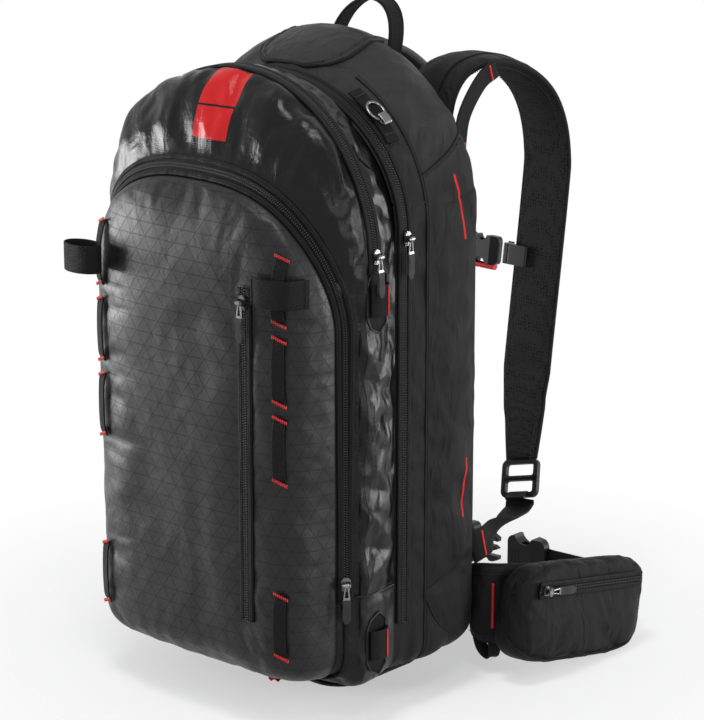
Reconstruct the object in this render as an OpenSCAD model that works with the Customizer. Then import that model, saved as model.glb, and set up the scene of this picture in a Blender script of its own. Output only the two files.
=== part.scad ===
// Avalanche airbag backpack: a winter touring pack with a gas-driven airbag in its top.
// Drawn with its base near Z = 0 and its divider at Y = 0, then moved so that the origin
// sits on the flat lumbar pad that rests against the wearer.

/* [Bag] */
// Half the width of the bag at its widest
half_w = 155; // [125:1:190]
// Height of the centre of the round top above the base
arch_z = 405; // [330:1:490]
// Depth of the main compartment
main_d = 116; // [95:1:131]
// Distance of the ridge zip in front of the divider
ridge_d = 30; // [24:1:36]
// Depth of the front pocket from its zip to its front face
pocket_d = 50; // [40:1:60]
// Thickness of a fabric wall with its lining
wall = 2.5; // [1.5:0.1:4]
// Clearance between neighbouring pieces
gap = 0.3; // [0.2:0.05:0.5]

/* [Airbag] */
// Height of the airbag chamber in its middle
chamber_h = 92; // [75:1:110]
// Width of the burst flap on top of the chamber
flap_w = 104; // [80:1:125]

/* [Back] */
// Thickness of the frame sheet
sheet_t = 2; // [1.5:0.5:3]
// Thickness of the foam back panel
foam_t = 9.5; // [7:0.5:14]
// Thickness of the pads that touch the wearer
pad_t = 8; // [6:0.5:12]

/* [Shoulder straps] */
// Distance of each shoulder strap from the middle of the back
strap_x = 79; // [66:1:92]
// Width of a shoulder strap
strap_w = 56; // [45:1:64]
// Thickness of a shoulder strap
strap_t = 12; // [8:1:15]
// How far a strap stands away from the back
strap_reach = 172; // [140:1:205]
// Width of the lower strap webbing
webbing_w = 32; // [25:1:38]
// Thickness of webbing
webbing_t = 2; // [1.5:0.1:3]

/* [Hip belt] */
// Height of a hip wing at its root
wing_h = 80; // [64:1:96]
// Thickness of a hip wing
wing_t = 14; // [10:1:18]
// Length of the hip pocket
hip_pocket_l = 190; // [155:1:205]
// Height of the hip pocket
hip_pocket_h = 100; // [84:1:108]

/* [Inflation system] */
// Radius of the gas cylinder
gas_r = 32; // [26:1:36]
// Length of the gas cylinder without its neck
gas_l = 250; // [200:1:270]
// Travel of the trigger handle
trigger_travel = 40; // [32:1:48]

/* [Zips] */
// Width of a zip tape with its borders
zip_w = 16; // [13:1:19]
// Thickness of a zip tape with its teeth
zip_t = 1.5; // [1:0.1:2]
// Length of a zip pull
pull_l = 36; // [28:1:42]

/* [Hidden] */
$fn = 48;
divider_t = 2;
y_main = divider_t / 2 + gap;
y_sheet = y_main + main_d + gap;
y_foam = y_sheet + sheet_t + gap;
y_pad = y_foam + foam_t + gap;
y_back = y_pad + pad_t;
lumbar_z = 78;
lumbar_half = 95;
base_z = 4.5;
main_zc = arch_z + 20;
dome_rise = 21;
floor_side = arch_z + 43;
floor_rise = half_w + dome_rise - chamber_h - 43;
pocket_zc = arch_z - 65;
pocket_half = half_w - 13;
pocket_top = arch_z + half_w - 91;
pocket_y_side = -ridge_d - 30;
pocket_y_top = -ridge_d - 60;
front_y = pocket_y_side - pocket_d;
zip_lift = 0.4;
slider_lift = zip_lift + zip_t + 0.4;
corner_power = 5;
side_steps = 3;
arch_steps = 32;
corner_steps = 6;
black = [0.13, 0.13, 0.14];
gloss = [0.20, 0.20, 0.22];
grey = [0.33, 0.33, 0.35];
metal = [0.62, 0.63, 0.65];
red = [0.75, 0.08, 0.06];

// Shared sums

up = [0, 0, 1];
function mix(a, b, t) = a + (b - a) * t;
function smooth(a, b, x) = let (t = min(1, max(0, (x - a) / (b - a)))) t * t * (3 - 2 * t);
function unit(v) = v / norm(v);
function signed_power(v, p) = sign(v) * pow(abs(v), p);
function reversed(v) = [for (k = [len(v) - 1:-1:0]) v[k]];
function total(v, i = 0) = i < len(v) ? v[i] + total(v, i + 1) : 0;
function flat(lists) = [for (v = lists, p = v) p];

// Closed outline in the XZ plane, from the middle of the base round the right side and over the top.
// w half width, zc where the top curve starts, top, zb where the bottom curve starts, base, n squareness.
function outline(w, zc, top, zb, base, n) = concat(
  [for (i = [0:corner_steps - 1]) let (a = 90 * i / corner_steps)
    [w * pow(sin(a), 2 / corner_power), zb - (zb - base) * pow(cos(a), 2 / corner_power)]],
  [for (i = [0:side_steps - 1]) [w, mix(zb, zc, i / side_steps)]],
  [for (i = [0:arch_steps]) let (a = 180 * i / arch_steps)
    [w * signed_power(cos(a), 2 / n), zc + (top - zc) * pow(sin(a), 2 / n)]],
  [for (i = [1:side_steps]) [-w, mix(zc, zb, i / side_steps)]],
  [for (i = [1:corner_steps - 1]) let (a = 90 * i / corner_steps)
    [-w * pow(cos(a), 2 / corner_power), zb - (zb - base) * pow(sin(a), 2 / corner_power)]]
);

// Open arch in the XZ plane from z_end on the right side to z_end on the left side
function arch_curve(w, zc, top, n, z_end) = concat(
  [for (i = [0:side_steps - 1]) [w, mix(z_end, zc, i / side_steps)]],
  [for (i = [0:arch_steps]) let (a = 180 * i / arch_steps)
    [w * signed_power(cos(a), 2 / n), zc + (top - zc) * pow(sin(a), 2 / n)]],
  [for (i = [1:side_steps]) [-w, mix(zc, z_end, i / side_steps)]]
);

// A ring is [half width, zc, top, base, squareness, y at the sides, y at the top]
function ring_y(r, z) = mix(r[5], r[6], smooth(pocket_zc, r[2], z));
function ring_points(r, inset = 0, back = 0) = [
  for (q = outline(r[0] - inset, r[1], r[2] - inset, r[3] + 50, r[3] + inset, r[4]))
    [q.x, ring_y(r, q.y) + back, q.y]
];
function ring_arch(r, z_end) = [
  for (q = arch_curve(r[0], r[1], r[2], r[4], z_end)) [q.x, ring_y(r, q.y), q.y]
];

// How far out the point x, z lies, as a share of the ring's own outline
function ring_share(r, x, z) =
  let (n = z > r[1] ? r[4] : corner_power,
       v = z > r[1] ? (z - r[1]) / (r[2] - r[1]) : max(0, r[3] + 50 - z) / 50)
  pow(pow(abs(x) / r[0], n) + pow(v, n), 1 / n);

tool_rings = [
  [half_w - 3, arch_z, arch_z + half_w - 5, base_z, 2, -y_main, -y_main],
  [half_w, arch_z, arch_z + half_w, base_z, 2, -ridge_d + zip_w / 2, -ridge_d + zip_w / 2],
  [half_w, arch_z, arch_z + half_w, base_z, 2, -ridge_d - zip_w / 2, -ridge_d - zip_w / 2],
  [half_w - 4, arch_z - 20, arch_z + half_w - 14, base_z + 2, 2.8, -ridge_d - 13, -ridge_d - 23],
  [half_w - 6, arch_z - 40, arch_z + half_w - 40, base_z + 4, 2.9, -ridge_d - 15.5, -ridge_d - 38],
  [pocket_half + 5, pocket_zc + 8, pocket_top + 17, base_z + 6, 2.5, pocket_y_side + 12, pocket_y_top + 9],
  [pocket_half - 4, pocket_zc, pocket_top - 1, base_z + 12, 2.6, pocket_y_side + 1, pocket_y_top],
  [pocket_half - 42, pocket_zc - 15, pocket_top - 60, base_z + 55, 2.6, pocket_y_side - 2, pocket_y_side - 2]
];
zip_outer = tool_rings[5];
zip_inner = tool_rings[6];

// How far in from the zip, how far down from the top and how far forward each pocket ring lies
pocket_steps = [[4, 1, 0], [5, 3, 0.22], [10, 9, 0.52], [22, 23, 0.78], [38, 45, 0.91], [52, 69, 1]];
pocket_rim_lift = 0.7;
pocket_rings = [
  for (s = pocket_steps)
    [pocket_half - s[0], pocket_zc, pocket_top - s[1], base_z + 8 + 0.45 * s[0], 2.6,
     mix(pocket_y_side + 1 - pocket_rim_lift, front_y, s[2]),
     mix(pocket_y_top - pocket_rim_lift, front_y, s[2])]
];

// Y of the front pocket's surface above the point x, z
function pocket_y(x, z, k = 0) =
  let (near = ring_share(pocket_rings[k], x, z), far = ring_share(pocket_rings[k + 1], x, z))
  far < 1 && k < len(pocket_rings) - 2 ? pocket_y(x, z, k + 1)
  : mix(ring_y(pocket_rings[k], z), ring_y(pocket_rings[k + 1], z), min(1, (1 - near) / (far - near)));

// Share of the depth, change of half width, change of height and rise of the base at each main ring
main_steps = [[0, -3, -12, 0], [0.18, -1, -6, 0], [0.42, 0, 10, 0], [0.7, 0, dome_rise, 1], [0.9, -2, 17, 3],
  [1, -6, 6, 6]];
function main_y(s) = y_main + main_d * s[0];
function main_w(s) = half_w + s[1];
function main_top(s) = arch_z + half_w + s[2];
function main_base(s) = base_z + s[3];
function floor_z(x) = floor_side + floor_rise * (1 - pow(x / half_w, 2));

// Angle at which an arch of half width w and the given top meets the chamber floor raised by lift
function tip_angle(w, top, lift, tries = 6) = tries == 0 ? 15 :
  let (a = tip_angle(w, top, lift, tries - 1))
  asin((floor_z(w * cos(a)) + lift - main_zc) / (top - main_zc));
function main_arch(w, top, a) = [w * cos(a), main_zc + (top - main_zc) * sin(a)];

floor_steps = 12;
tip_steps = 3;
function lower_outline(s, inset) =
  let (w = main_w(s) - inset, top = main_top(s) - inset, base = main_base(s) + inset, zb = main_base(s) + 50,
       lift = -inset - gap, a0 = tip_angle(w, top, lift), x0 = w * cos(a0))
  concat(
    [for (i = [0:corner_steps - 1]) let (a = 90 * i / corner_steps)
      [w * pow(sin(a), 2 / corner_power), zb - (zb - base) * pow(cos(a), 2 / corner_power)]],
    [for (i = [0:side_steps - 1]) [w, mix(zb, main_zc, i / side_steps)]],
    [for (i = [0:tip_steps]) main_arch(w, top, a0 * i / tip_steps)],
    [for (i = [1:floor_steps - 1]) let (x = mix(x0, -x0, i / floor_steps)) [x, floor_z(x) + lift]],
    [for (i = [0:tip_steps]) main_arch(w, top, 180 - a0 * (1 - i / tip_steps))],
    [for (i = [1:side_steps]) [-w, mix(main_zc, zb, i / side_steps)]],
    [for (i = [1:corner_steps - 1]) let (a = 90 * i / corner_steps)
      [-w * pow(cos(a), 2 / corner_power), zb - (zb - base) * pow(sin(a), 2 / corner_power)]]
  );
function cap_outline(s, inset) =
  let (w = main_w(s) - inset, top = main_top(s) - inset, lift = inset, a0 = tip_angle(w, top, lift),
       x0 = w * cos(a0))
  concat(
    [for (i = [0:arch_steps - 6]) main_arch(w, top, mix(a0, 180 - a0, i / (arch_steps - 6)))],
    [for (i = [1:floor_steps - 1]) let (x = mix(-x0, x0, i / floor_steps)) [x, floor_z(x) + lift]]
  );
function at_y(points, y) = [for (p = points) [p.x, y, p.y]];

// Shared solids

function face_volume(p, f) =
  total([for (k = [1:len(f) - 2]) p[f[0]] * cross(p[f[k]], p[f[k + 1]])]);
module closed_solid(points, faces) {
  volume = total([for (f = faces) face_volume(points, f)]);
  polyhedron(points, volume > 0 ? [for (f = faces) reversed(f)] : faces, convexity = 6);
}
function skin_faces(count, m, first = 0) = [
  for (i = [0:count - 2], j = [0:m - 1], half = [0, 1])
    let (a = first + i * m + j, b = first + i * m + (j + 1) % m)
    half == 0 ? [a, a + m, b + m] : [a, b + m, b]
];
function rim_faces(a, b, m) = [
  for (j = [0:m - 1], half = [0, 1])
    half == 0 ? [a + j, a + (j + 1) % m, b + (j + 1) % m] : [a + j, b + (j + 1) % m, b + j]
];
function ring_face(first, m) = [for (j = [0:m - 1]) first + j];

// Solid through matching closed sections
module solid_skin(sections) {
  m = len(sections[0]);
  last = (len(sections) - 1) * m;
  closed_solid(flat(sections),
    concat(skin_faces(len(sections), m), [ring_face(0, m), reversed(ring_face(last, m))]));
}

// Open tube between matching outer and inner rings
module tube_skin(outer, inner) {
  m = len(outer[0]);
  n = len(outer);
  closed_solid(concat(flat(outer), flat(inner)), concat(
    skin_faces(n, m),
    [for (f = skin_faces(n, m, n * m)) reversed(f)],
    rim_faces(0, n * m, m),
    [for (f = rim_faces((n - 1) * m, (2 * n - 1) * m, m)) reversed(f)]));
}

// Bowl between matching outer and inner rings, open at the first ring and closed at the last
module bowl_skin(outer, inner) {
  m = len(outer[0]);
  n = len(outer);
  closed_solid(concat(flat(outer), flat(inner)), concat(
    skin_faces(n, m),
    [for (f = skin_faces(n, m, n * m)) reversed(f)],
    rim_faces(0, n * m, m),
    [reversed(ring_face((n - 1) * m, m)), ring_face((2 * n - 1) * m, m)]));
}

function tangent(p, i) = unit(p[min(i + 1, len(p) - 1)] - p[max(i - 1, 0)]);

// Flat strip between two matching edges that lie on a surface facing away from the point inside
module band(edge_a, edge_b, lift, thick, inside) {
  solid_skin([
    for (i = [0:len(edge_a) - 1])
      let (a = edge_a[i], b = edge_b[i], n0 = unit(cross(tangent(edge_a, i), b - a)),
           n = n0 * (a - inside) < 0 ? -n0 : n0)
      [a + n * lift, b + n * lift, b + n * (lift + thick), a + n * (lift + thick)]
  ]);
}

// Ribbon along a path: across gives its width direction, and soft cuts its edges back
module ribbon(path, across, widths, thick, soft = 0) {
  solid_skin([
    for (i = [0:len(path) - 1])
      let (t = tangent(path, i), a = unit(across[i] - t * (across[i] * t)), n = cross(t, a),
           w = widths[i] / 2, h = thick / 2, c = soft)
      c == 0 ? [for (q = [[w, h], [w, -h], [-w, -h], [-w, h]]) path[i] + a * q.x + n * q.y]
      : [for (q = [[w - c, h], [w, h - c], [w, c - h], [w - c, -h], [c - w, -h], [-w, c - h], [-w, h - c],
           [c - w, h]]) path[i] + a * q.x + n * q.y]
  ]);
}

// Places children with their X axis along x_dir and their Z axis along z_dir
module at(o, x_dir, z_dir) {
  y_dir = cross(z_dir, x_dir);
  multmatrix([
    [x_dir.x, y_dir.x, z_dir.x, o.x],
    [x_dir.y, y_dir.y, z_dir.y, o.y],
    [x_dir.z, y_dir.z, z_dir.z, o.z]
  ])
    children();
}

// Extrudes an XZ outline along Y, from y0 over the given depth
module panel(y0, depth) {
  translate([0, y0 + depth, 0])
    rotate([90, 0, 0])
      linear_extrude(height = depth)
        children();
}

// Flat shape with rounded corners, length along X and width along Y
module rounded(l, w, r) {
  square([l - 2 * r, w], center = true);
  square([l, w - 2 * r], center = true);
  for (x = [-1, 1], y = [-1, 1])
    translate([x * (l / 2 - r), y * (w / 2 - r)])
      circle(r);
}

module both_sides() {
  children();
  mirror([1, 0, 0])
    children();
}

module place() {
  translate([0, -y_back, -lumbar_z])
    children();
}

// Bag

bag_middle = [0, main_d / 2, arch_z - 100];

// Gusset band round the main compartment, with the sleeve hole for the inflation hose
module main_bag() {
  color(black)
    place()
      difference() {
        tube_skin([for (s = main_steps) at_y(lower_outline(s, 0), main_y(s))],
          [for (s = main_steps) at_y(lower_outline(s, wall), main_y(s))]);
        hose_hole();
      }
}

// Rounded chamber that holds the folded airbag
module airbag_cover() {
  color(grey)
    place()
      difference() {
        bowl_skin([for (s = main_steps) at_y(cap_outline(s, gap), main_y(s))],
          [for (s = main_steps) at_y(cap_outline(s, wall + gap), main_y(s) - wall * s[0])]);
        hose_hole();
      }
}

// Folded airbag that lies on the floor of its chamber
module airbag() {
  inset = wall + 2 * gap + 0.6;
  end_room = 3;
  color(red)
    place()
      panel(y_main + end_room, main_d - 2 * end_room)
        polygon(cap_outline([0, -6, -15, 0], inset));
}

// Sheet between the tool compartment and the main compartment
module divider() {
  color(grey)
    place()
      panel(-divider_t / 2, divider_t)
        polygon(outline(half_w - 5, arch_z, arch_z + half_w - 15, base_z + 52, base_z + 2, 2));
}

module tool_pocket() {
  last = len(tool_rings) - 1;
  color(gloss)
    place()
      bowl_skin([for (r = tool_rings) ring_points(r)],
        [for (k = [0:last]) ring_points(tool_rings[k], wall, k < 3 ? 0 : wall * min(1, (k - 2) / 3))]);
}

module front_pocket() {
  color(grey)
    place()
      bowl_skin([for (r = pocket_rings) ring_points(r)],
        [for (k = [0:len(pocket_rings) - 1]) ring_points(pocket_rings[k], wall, wall * min(1, k / 3))]);
}

// Flat wear panel under the compartments
module base_panel() {
  half = half_w - 32;
  front = -ridge_d - 8;
  back = y_main + 0.7 * main_d;
  round = 28;
  color(black)
    place()
      linear_extrude(height = base_z - gap)
        polygon(flat([for (c = [[1, 1, 0], [-1, 1, 90], [-1, -1, 180], [1, -1, 270]])
          [for (a = [c[2]:15:c[2] + 90]) [c.x * (half - round) + round * cos(a),
            (c.y > 0 ? back - round : front + round) + round * sin(a)]]]));
}

// Back

module frame_sheet() {
  color(grey)
    place()
      difference() {
        panel(y_sheet, sheet_t)
          polygon(outline(half_w - 20, arch_z, arch_z + half_w - 40, base_z + 66, base_z + 16, 2));
        cable_hole();
      }
}

stay_x = 46;
stay_w = 14;
stay_t = 3;
module frame_stays() {
  color(metal)
    place()
      both_sides()
        translate([stay_x - stay_w / 2, y_sheet - gap - stay_t, base_z + 45])
          cube([stay_w, stay_t, arch_z - 10]);
}

channel_w = 32;
module back_panel() {
  color(black)
    place()
      difference() {
        panel(y_foam, foam_t)
          polygon(outline(half_w - 15, arch_z, arch_z + half_w - 25, base_z + 58, base_z + 8, 2));
        // air channel up the middle
        translate([-channel_w / 2, y_foam + foam_t - 5, lumbar_z + 70])
          cube([channel_w, 10, arch_z - 40]);
        cable_hole();
      }
}

pad_x = 66;
pad_half = 44;

// Pads that touch the wearer: one on each side of the air channel and the flat lumbar pad
module back_pads() {
  color(grey)
    place()
      panel(y_pad, pad_t) {
        polygon(outline(lumbar_half, lumbar_z + 30, lumbar_z + 58, lumbar_z - 30, lumbar_z - 58, 5));
        both_sides()
          translate([pad_x, 0])
            polygon(outline(pad_half, arch_z - 10, arch_z + 50, lumbar_z + 120, lumbar_z + 70, 3));
      }
}

// Straps

// Share of the reach and height over the arch centre along the middle of a shoulder strap
strap_steps = [[0, 62], [0, 92], [0.045, 119], [0.16, 137], [0.37, 142], [0.6, 133], [0.81, 111], [0.94, 81],
  [1, 41], [0.985, -4]];
strap_last = strap_steps[len(strap_steps) - 1];
strap_fall = 176;
strap_tilt = 0.136;
strap_root_y = y_foam + foam_t + gap + strap_t / 2;
strap_top = [strap_x, strap_root_y + strap_last[0] * strap_reach, arch_z + strap_last[1]];
strap_down = unit([0, -strap_tilt, -1]);
strap_end = strap_top + strap_down * strap_fall;
lock_point = strap_end + [18, -28, -78];
strap_path = concat(
  [for (s = strap_steps) [strap_x - 5 * (1 - s[0]), strap_root_y + strap_reach * s[0], arch_z + s[1]]],
  [strap_end, mix(strap_end, lock_point, 0.5) + [-2, 3, 0], lock_point]);
strap_count = len(strap_path);
strap_widths = [for (i = [0:strap_count - 1]) i < strap_count - 3 ? strap_w : mix(strap_w, webbing_w + 2,
  (i - strap_count + 3) / 2)];

module shoulder_strap() {
  place()
    ribbon(strap_path, [for (p = strap_path) [1, 0, 0]], strap_widths, strap_t, strap_t * 0.3);
}
module shoulder_strap_right() {
  color(black)
    shoulder_strap();
}
module shoulder_strap_left() {
  color(black)
    mirror([1, 0, 0])
      shoulder_strap();
}

// Frames that join each shoulder strap to its lower webbing
lock_dir = unit(strap_path[strap_count - 1] - strap_path[strap_count - 2]);
lock_across = unit([1, 0, 0] - lock_dir * lock_dir.x);
lock_l = 38;
lock_w = webbing_w + 10;
lock_t = 5;
module ladder_locks() {
  bar = 5;
  slot = (lock_l - 3 * bar) / 2;
  lip_h = 8;
  color(black)
    place()
      both_sides()
        at(lock_point + lock_dir * gap, lock_dir, cross(lock_dir, lock_across)) {
          translate([lock_l / 2, 0, -lock_t / 2])
            linear_extrude(height = lock_t)
              difference() {
                rounded(lock_l, lock_w, 7);
                for (side = [-1, 1])
                  translate([side * (slot + bar) / 2, 0])
                    rounded(slot, lock_w - 2 * bar, 2.5);
              }
          // gripping edge of the middle bar
          translate([lock_l / 2, lock_w / 2 - bar, lock_t / 2])
            rotate([90, 0, 0])
              cylinder(h = lock_w - 2 * bar, r = bar / 2);
          // lip that is lifted to let the webbing out
          translate([0, lock_w / 2 - 2 * bar, 0])
            rotate([90, 0, 0])
              linear_extrude(height = lock_w - 4 * bar)
                polygon([[lock_l - bar - 1, lock_t / 2 - 0.6], [lock_l - 1.5, lock_t / 2 - 0.6],
                  [lock_l + 3, lip_h], [lock_l + 1, lip_h + 0.8]]);
        }
}

// Lower webbing from each lock to the lower rear corner of the bag
module strap_webbing() {
  start = lock_point + lock_dir * (lock_l + 2 * gap);
  corner = [half_w - 12.8, y_foam + 1.6, 100];
  turn = corner + [3, 14, 4];
  path = [start, start + lock_dir * 8, mix(start, turn, 0.55) + [3, 2, -2], turn, corner];
  across = [lock_across, lock_across, [0.7, 0.5, 0.5], [0, -0.35, 1], [0, -0.2, 1]];
  color(black)
    place()
      both_sides()
        ribbon(path, across, [for (p = path) webbing_w], webbing_t);
}

// Short straps that pull the top of each shoulder strap towards the bag
module load_lifters() {
  side = strap_x + strap_w / 2 + webbing_t / 2 + gap;
  w = 18;
  path = [
    [side + 1, y_pad + webbing_t / 2 + 7.6, arch_z + 66],
    [side + 0.6, strap_root_y + 10, arch_z + 100],
    [side, strap_root_y + 34, arch_z + 128],
    [side, strap_root_y + 56, arch_z + 138]
  ];
  color(black)
    place()
      both_sides()
        ribbon(path, [for (p = path) [0, -0.8, 1]], [for (p = path) w], webbing_t);
}

// Carry handle

handle_half = 38;
handle_w = 20;
handle_y = y_sheet + handle_w / 2 + 1;
handle_hinge_z = arch_z + half_w - 12;
handle_h = 60;
handle_lean = 17;
function handle_bend(a, r) = [
  handle_lean * sin(a) + (handle_half + r) * cos(a) * (1 + 0.05 * sin(a)),
  handle_hinge_z + (handle_h + r) * pow(sin(a), 0.8)
];
module carry_handle() {
  t = 2.6;
  color(black)
    place() {
      panel(handle_y - handle_w / 2, handle_w)
        polygon(concat(
          [for (a = [0:10:180]) handle_bend(a, 0)],
          [for (a = [180:-10:0]) handle_bend(a, -t)]));
      for (x = [handle_half - t, -handle_half])
        translate([x, handle_y, handle_hinge_z])
          rotate([0, 90, 0])
            cylinder(h = t, r = handle_w / 2);
    }
}

// Sewn-down ends under the carry handle
module handle_anchors() {
  top = handle_hinge_z - handle_w / 2 - gap;
  bottom = arch_z + (half_w - 25) * sqrt(1 - pow((handle_half - 6) / (half_w - 15), 2)) + gap;
  color(black)
    place()
      both_sides()
        translate([handle_half - 6, y_foam + 1, bottom])
          cube([10, foam_t - 2, top - bottom]);
}

// Burst flap over the airbag chamber
flap_y0 = y_main + 24;
flap_y1 = y_main + 0.86 * main_d;
flap_t = 3;
flap_lift = 0.9;
function dome_step(y) =
  let (f = (y - y_main) / main_d, k = f < 0.18 ? 0 : f < 0.42 ? 1 : f < 0.7 ? 2 : f < 0.9 ? 3 : 4,
       t = (f - main_steps[k][0]) / (main_steps[k + 1][0] - main_steps[k][0]))
  mix(main_steps[k], main_steps[k + 1], t);
function dome_z(x, y) =
  let (s = dome_step(y)) main_zc + (main_top(s) - main_zc) * sqrt(1 - pow(x / main_w(s), 2));
module airbag_flap() {
  stations = [flap_y0, main_y(main_steps[2]), main_y(main_steps[3]), flap_y1];
  narrow = [0.72, 1, 1, 0.94];
  steps = 10;
  color(black)
    place()
      solid_skin([for (k = [0:3]) let (half = flap_w / 2 * narrow[k], y = stations[k]) concat(
        [for (i = [0:steps]) let (x = mix(half, -half, i / steps))
          [x, y, dome_z(x, y) + flap_lift + flap_t]],
        [for (i = [0:steps]) let (x = mix(-half, half, i / steps))
          [x, y, dome_z(x, y) + flap_lift]])]);
}

// Inflation system

gas_x = -(half_w - wall - gas_r - 24);
gas_y = y_sheet - gas_r - 16;
gas_z = base_z + 36;
neck_r = 9;
neck_l = 16;
head_z = gas_z + gas_l + 2;
head_r = 21;
head_h = 42;
hose_r = 12;
hose_x = gas_x + head_r + hose_r + 6;
hose_top = floor_z(abs(hose_x) + hose_r) + wall + 2 * gap + 0.2;
lever_z = head_z + head_h + 16;
lever_arm = 12;
lever_tip = 20;
lever_swing = 35;
pin_travel = (lever_arm + 0.5) * lever_swing * PI / 180;
pivot_r = 2;
run_fit = 0.05;

module hose_hole() {
  translate([hose_x, gas_y, arch_z])
    cylinder(h = floor_rise + 80, r = hose_r + gap);
}

// Hollow cylinder with a rounded bottom, a domed shoulder and a plain neck that screws into the head
gas_wall = 4;
function vessel(r, r_neck, bottom, top, foot, spout) =
  let (shoulder = r * 0.62)
  concat([[0, bottom]],
    [for (a = [0:15:90]) [r - foot + foot * sin(a), bottom + foot - foot * cos(a)]],
    [for (a = [0:15:90]) [r_neck + 2 + (r - r_neck - 2) * cos(a), top - shoulder + shoulder * sin(a)]],
    [[r_neck, top], [r_neck, spout], [0, spout]]);
module gas_cylinder() {
  color(metal)
    place()
      translate([gas_x, gas_y, gas_z])
        difference() {
          rotate_extrude()
            polygon(vessel(gas_r, neck_r, 0, gas_l, 14, gas_l + neck_l));
          rotate_extrude()
            polygon(vessel(gas_r - gas_wall, neck_r - 4, gas_wall, gas_l - gas_wall, 11, gas_l + neck_l + 1));
        }
}

// Head that pierces the cylinder and feeds the hose
module inflation_head() {
  ear = 5;
  lever_gap = 4.4;
  pivot_x = gas_x - lever_arm;
  color(grey)
    place()
      difference() {
        union() {
          translate([gas_x, gas_y, head_z])
            cylinder(h = head_h, r = head_r);
          translate([gas_x, gas_y - 9, head_z + 8])
            cube([hose_x - gas_x, 18, 22]);
          translate([hose_x, gas_y, head_z + 8])
            cylinder(h = 22, r = hose_r + 2);
          for (side = [-1, 1])
            translate([pivot_x - 6, gas_y + side * (lever_gap + ear / 2) - ear / 2, head_z + head_h - 1])
              cube([12, ear, lever_z - head_z - head_h + 7]);
          translate([pivot_x, gas_y + lever_gap + 1, lever_z])
            rotate([90, 0, 0])
              cylinder(h = 2 * lever_gap + 2, r = pivot_r);
        }
        translate([gas_x, gas_y, head_z - 1])
          cylinder(h = neck_l + 4, r = neck_r + run_fit);
        translate([gas_x, gas_y, head_z])
          cylinder(h = head_h + 1, r = pivot_r + run_fit);
        // gas way to the hose
        translate([hose_x, gas_y, head_z + 14])
          cylinder(h = 20, r = hose_r - 3);
      }
}

// Cranked lever pulled up by the trigger cable on its outer end
module release_lever() {
  t = 7.6;
  pivot_x = gas_x - lever_arm;
  color(metal)
    place()
      difference() {
        translate([0, gas_y + t / 2, 0])
          rotate([90, 0, 0])
            linear_extrude(height = t)
              translate([pivot_x, lever_z])
                union() {
                  circle(r = 4.6);
                  translate([0, -2.2])
                    square([lever_arm + 1, 4.4]);
                  translate([-lever_tip, -2.2])
                    square([lever_tip, 4.4]);
                  translate([-lever_tip, 0])
                    circle(r = 4);
                }
        translate([pivot_x, gas_y + t, lever_z])
          rotate([90, 0, 0])
            cylinder(h = 2 * t, r = pivot_r + run_fit);
      }
}

module firing_pin() {
  head = 3;
  top = lever_z - 2.2 - 0.5;
  color(metal)
    place()
      translate([gas_x, gas_y, 0]) {
        translate([0, 0, head_z + neck_l + pin_travel + 2])
          cylinder(h = top - head_z - neck_l - pin_travel - 3, r = pivot_r);
        translate([0, 0, top - head])
          cylinder(h = head, r = 4);
      }
}

module inflation_hose() {
  bottom = head_z + 30 + gap;
  color(black)
    place()
      translate([hose_x, gas_y, bottom])
        difference() {
          cylinder(h = hose_top - bottom, r = hose_r);
          translate([0, 0, -1])
            cylinder(h = hose_top - bottom + 2, r = hose_r - 3);
        }
}

// Cradle on the frame sheet with two bands round the cylinder
module cylinder_bracket() {
  band_w = 18;
  band_t = 2;
  seat = gas_r + gap;
  color(black)
    place()
      for (z = [gas_z + 40, gas_z + gas_l - 70])
        difference() {
          union() {
            translate([gas_x, gas_y, z])
              cylinder(h = band_w, r = seat + band_t);
            translate([gas_x - gas_r * 0.7, gas_y, z])
              cube([gas_r * 1.4, y_sheet - gap - gas_y, band_w]);
          }
          translate([gas_x, gas_y, z - 1])
            cylinder(h = band_w + 2, r = seat);
        }
}

// Trigger on the left strap

cable_r = 3;
port = [-(strap_x - strap_w / 2 - 9.5), 0, arch_z + 62];
module cable_hole() {
  translate([port.x, y_sheet - 1, port.z])
    rotate([-90, 0, 0])
      cylinder(h = sheet_t + foam_t + 10, r = cable_r + 3 * gap);
}

sleeve_from = 20;
sleeve_l = trigger_travel + 26;
sleeve_w = 26;
sleeve_t = 16;
stem_r = 4;
trigger_x = -(strap_x - 10);
module on_left_strap(along) {
  at(strap_top + [trigger_x - strap_x, 0, 0] + strap_down * along, [-1, 0, 0], -strap_down)
    children();
}
strap_face = strap_t / 2 + gap;

// Pocket on the strap that keeps the trigger handle from being pulled by chance
module handle_sleeve() {
  color(black)
    place()
      on_left_strap(sleeve_from + sleeve_l)
        difference() {
          translate([-sleeve_w / 2, -strap_face - sleeve_t, 0])
            cube([sleeve_w, sleeve_t, sleeve_l]);
          translate([0, -strap_face - sleeve_t / 2, -1])
            cylinder(h = sleeve_l + 2, r = stem_r + 0.1);
        }
}

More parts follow.
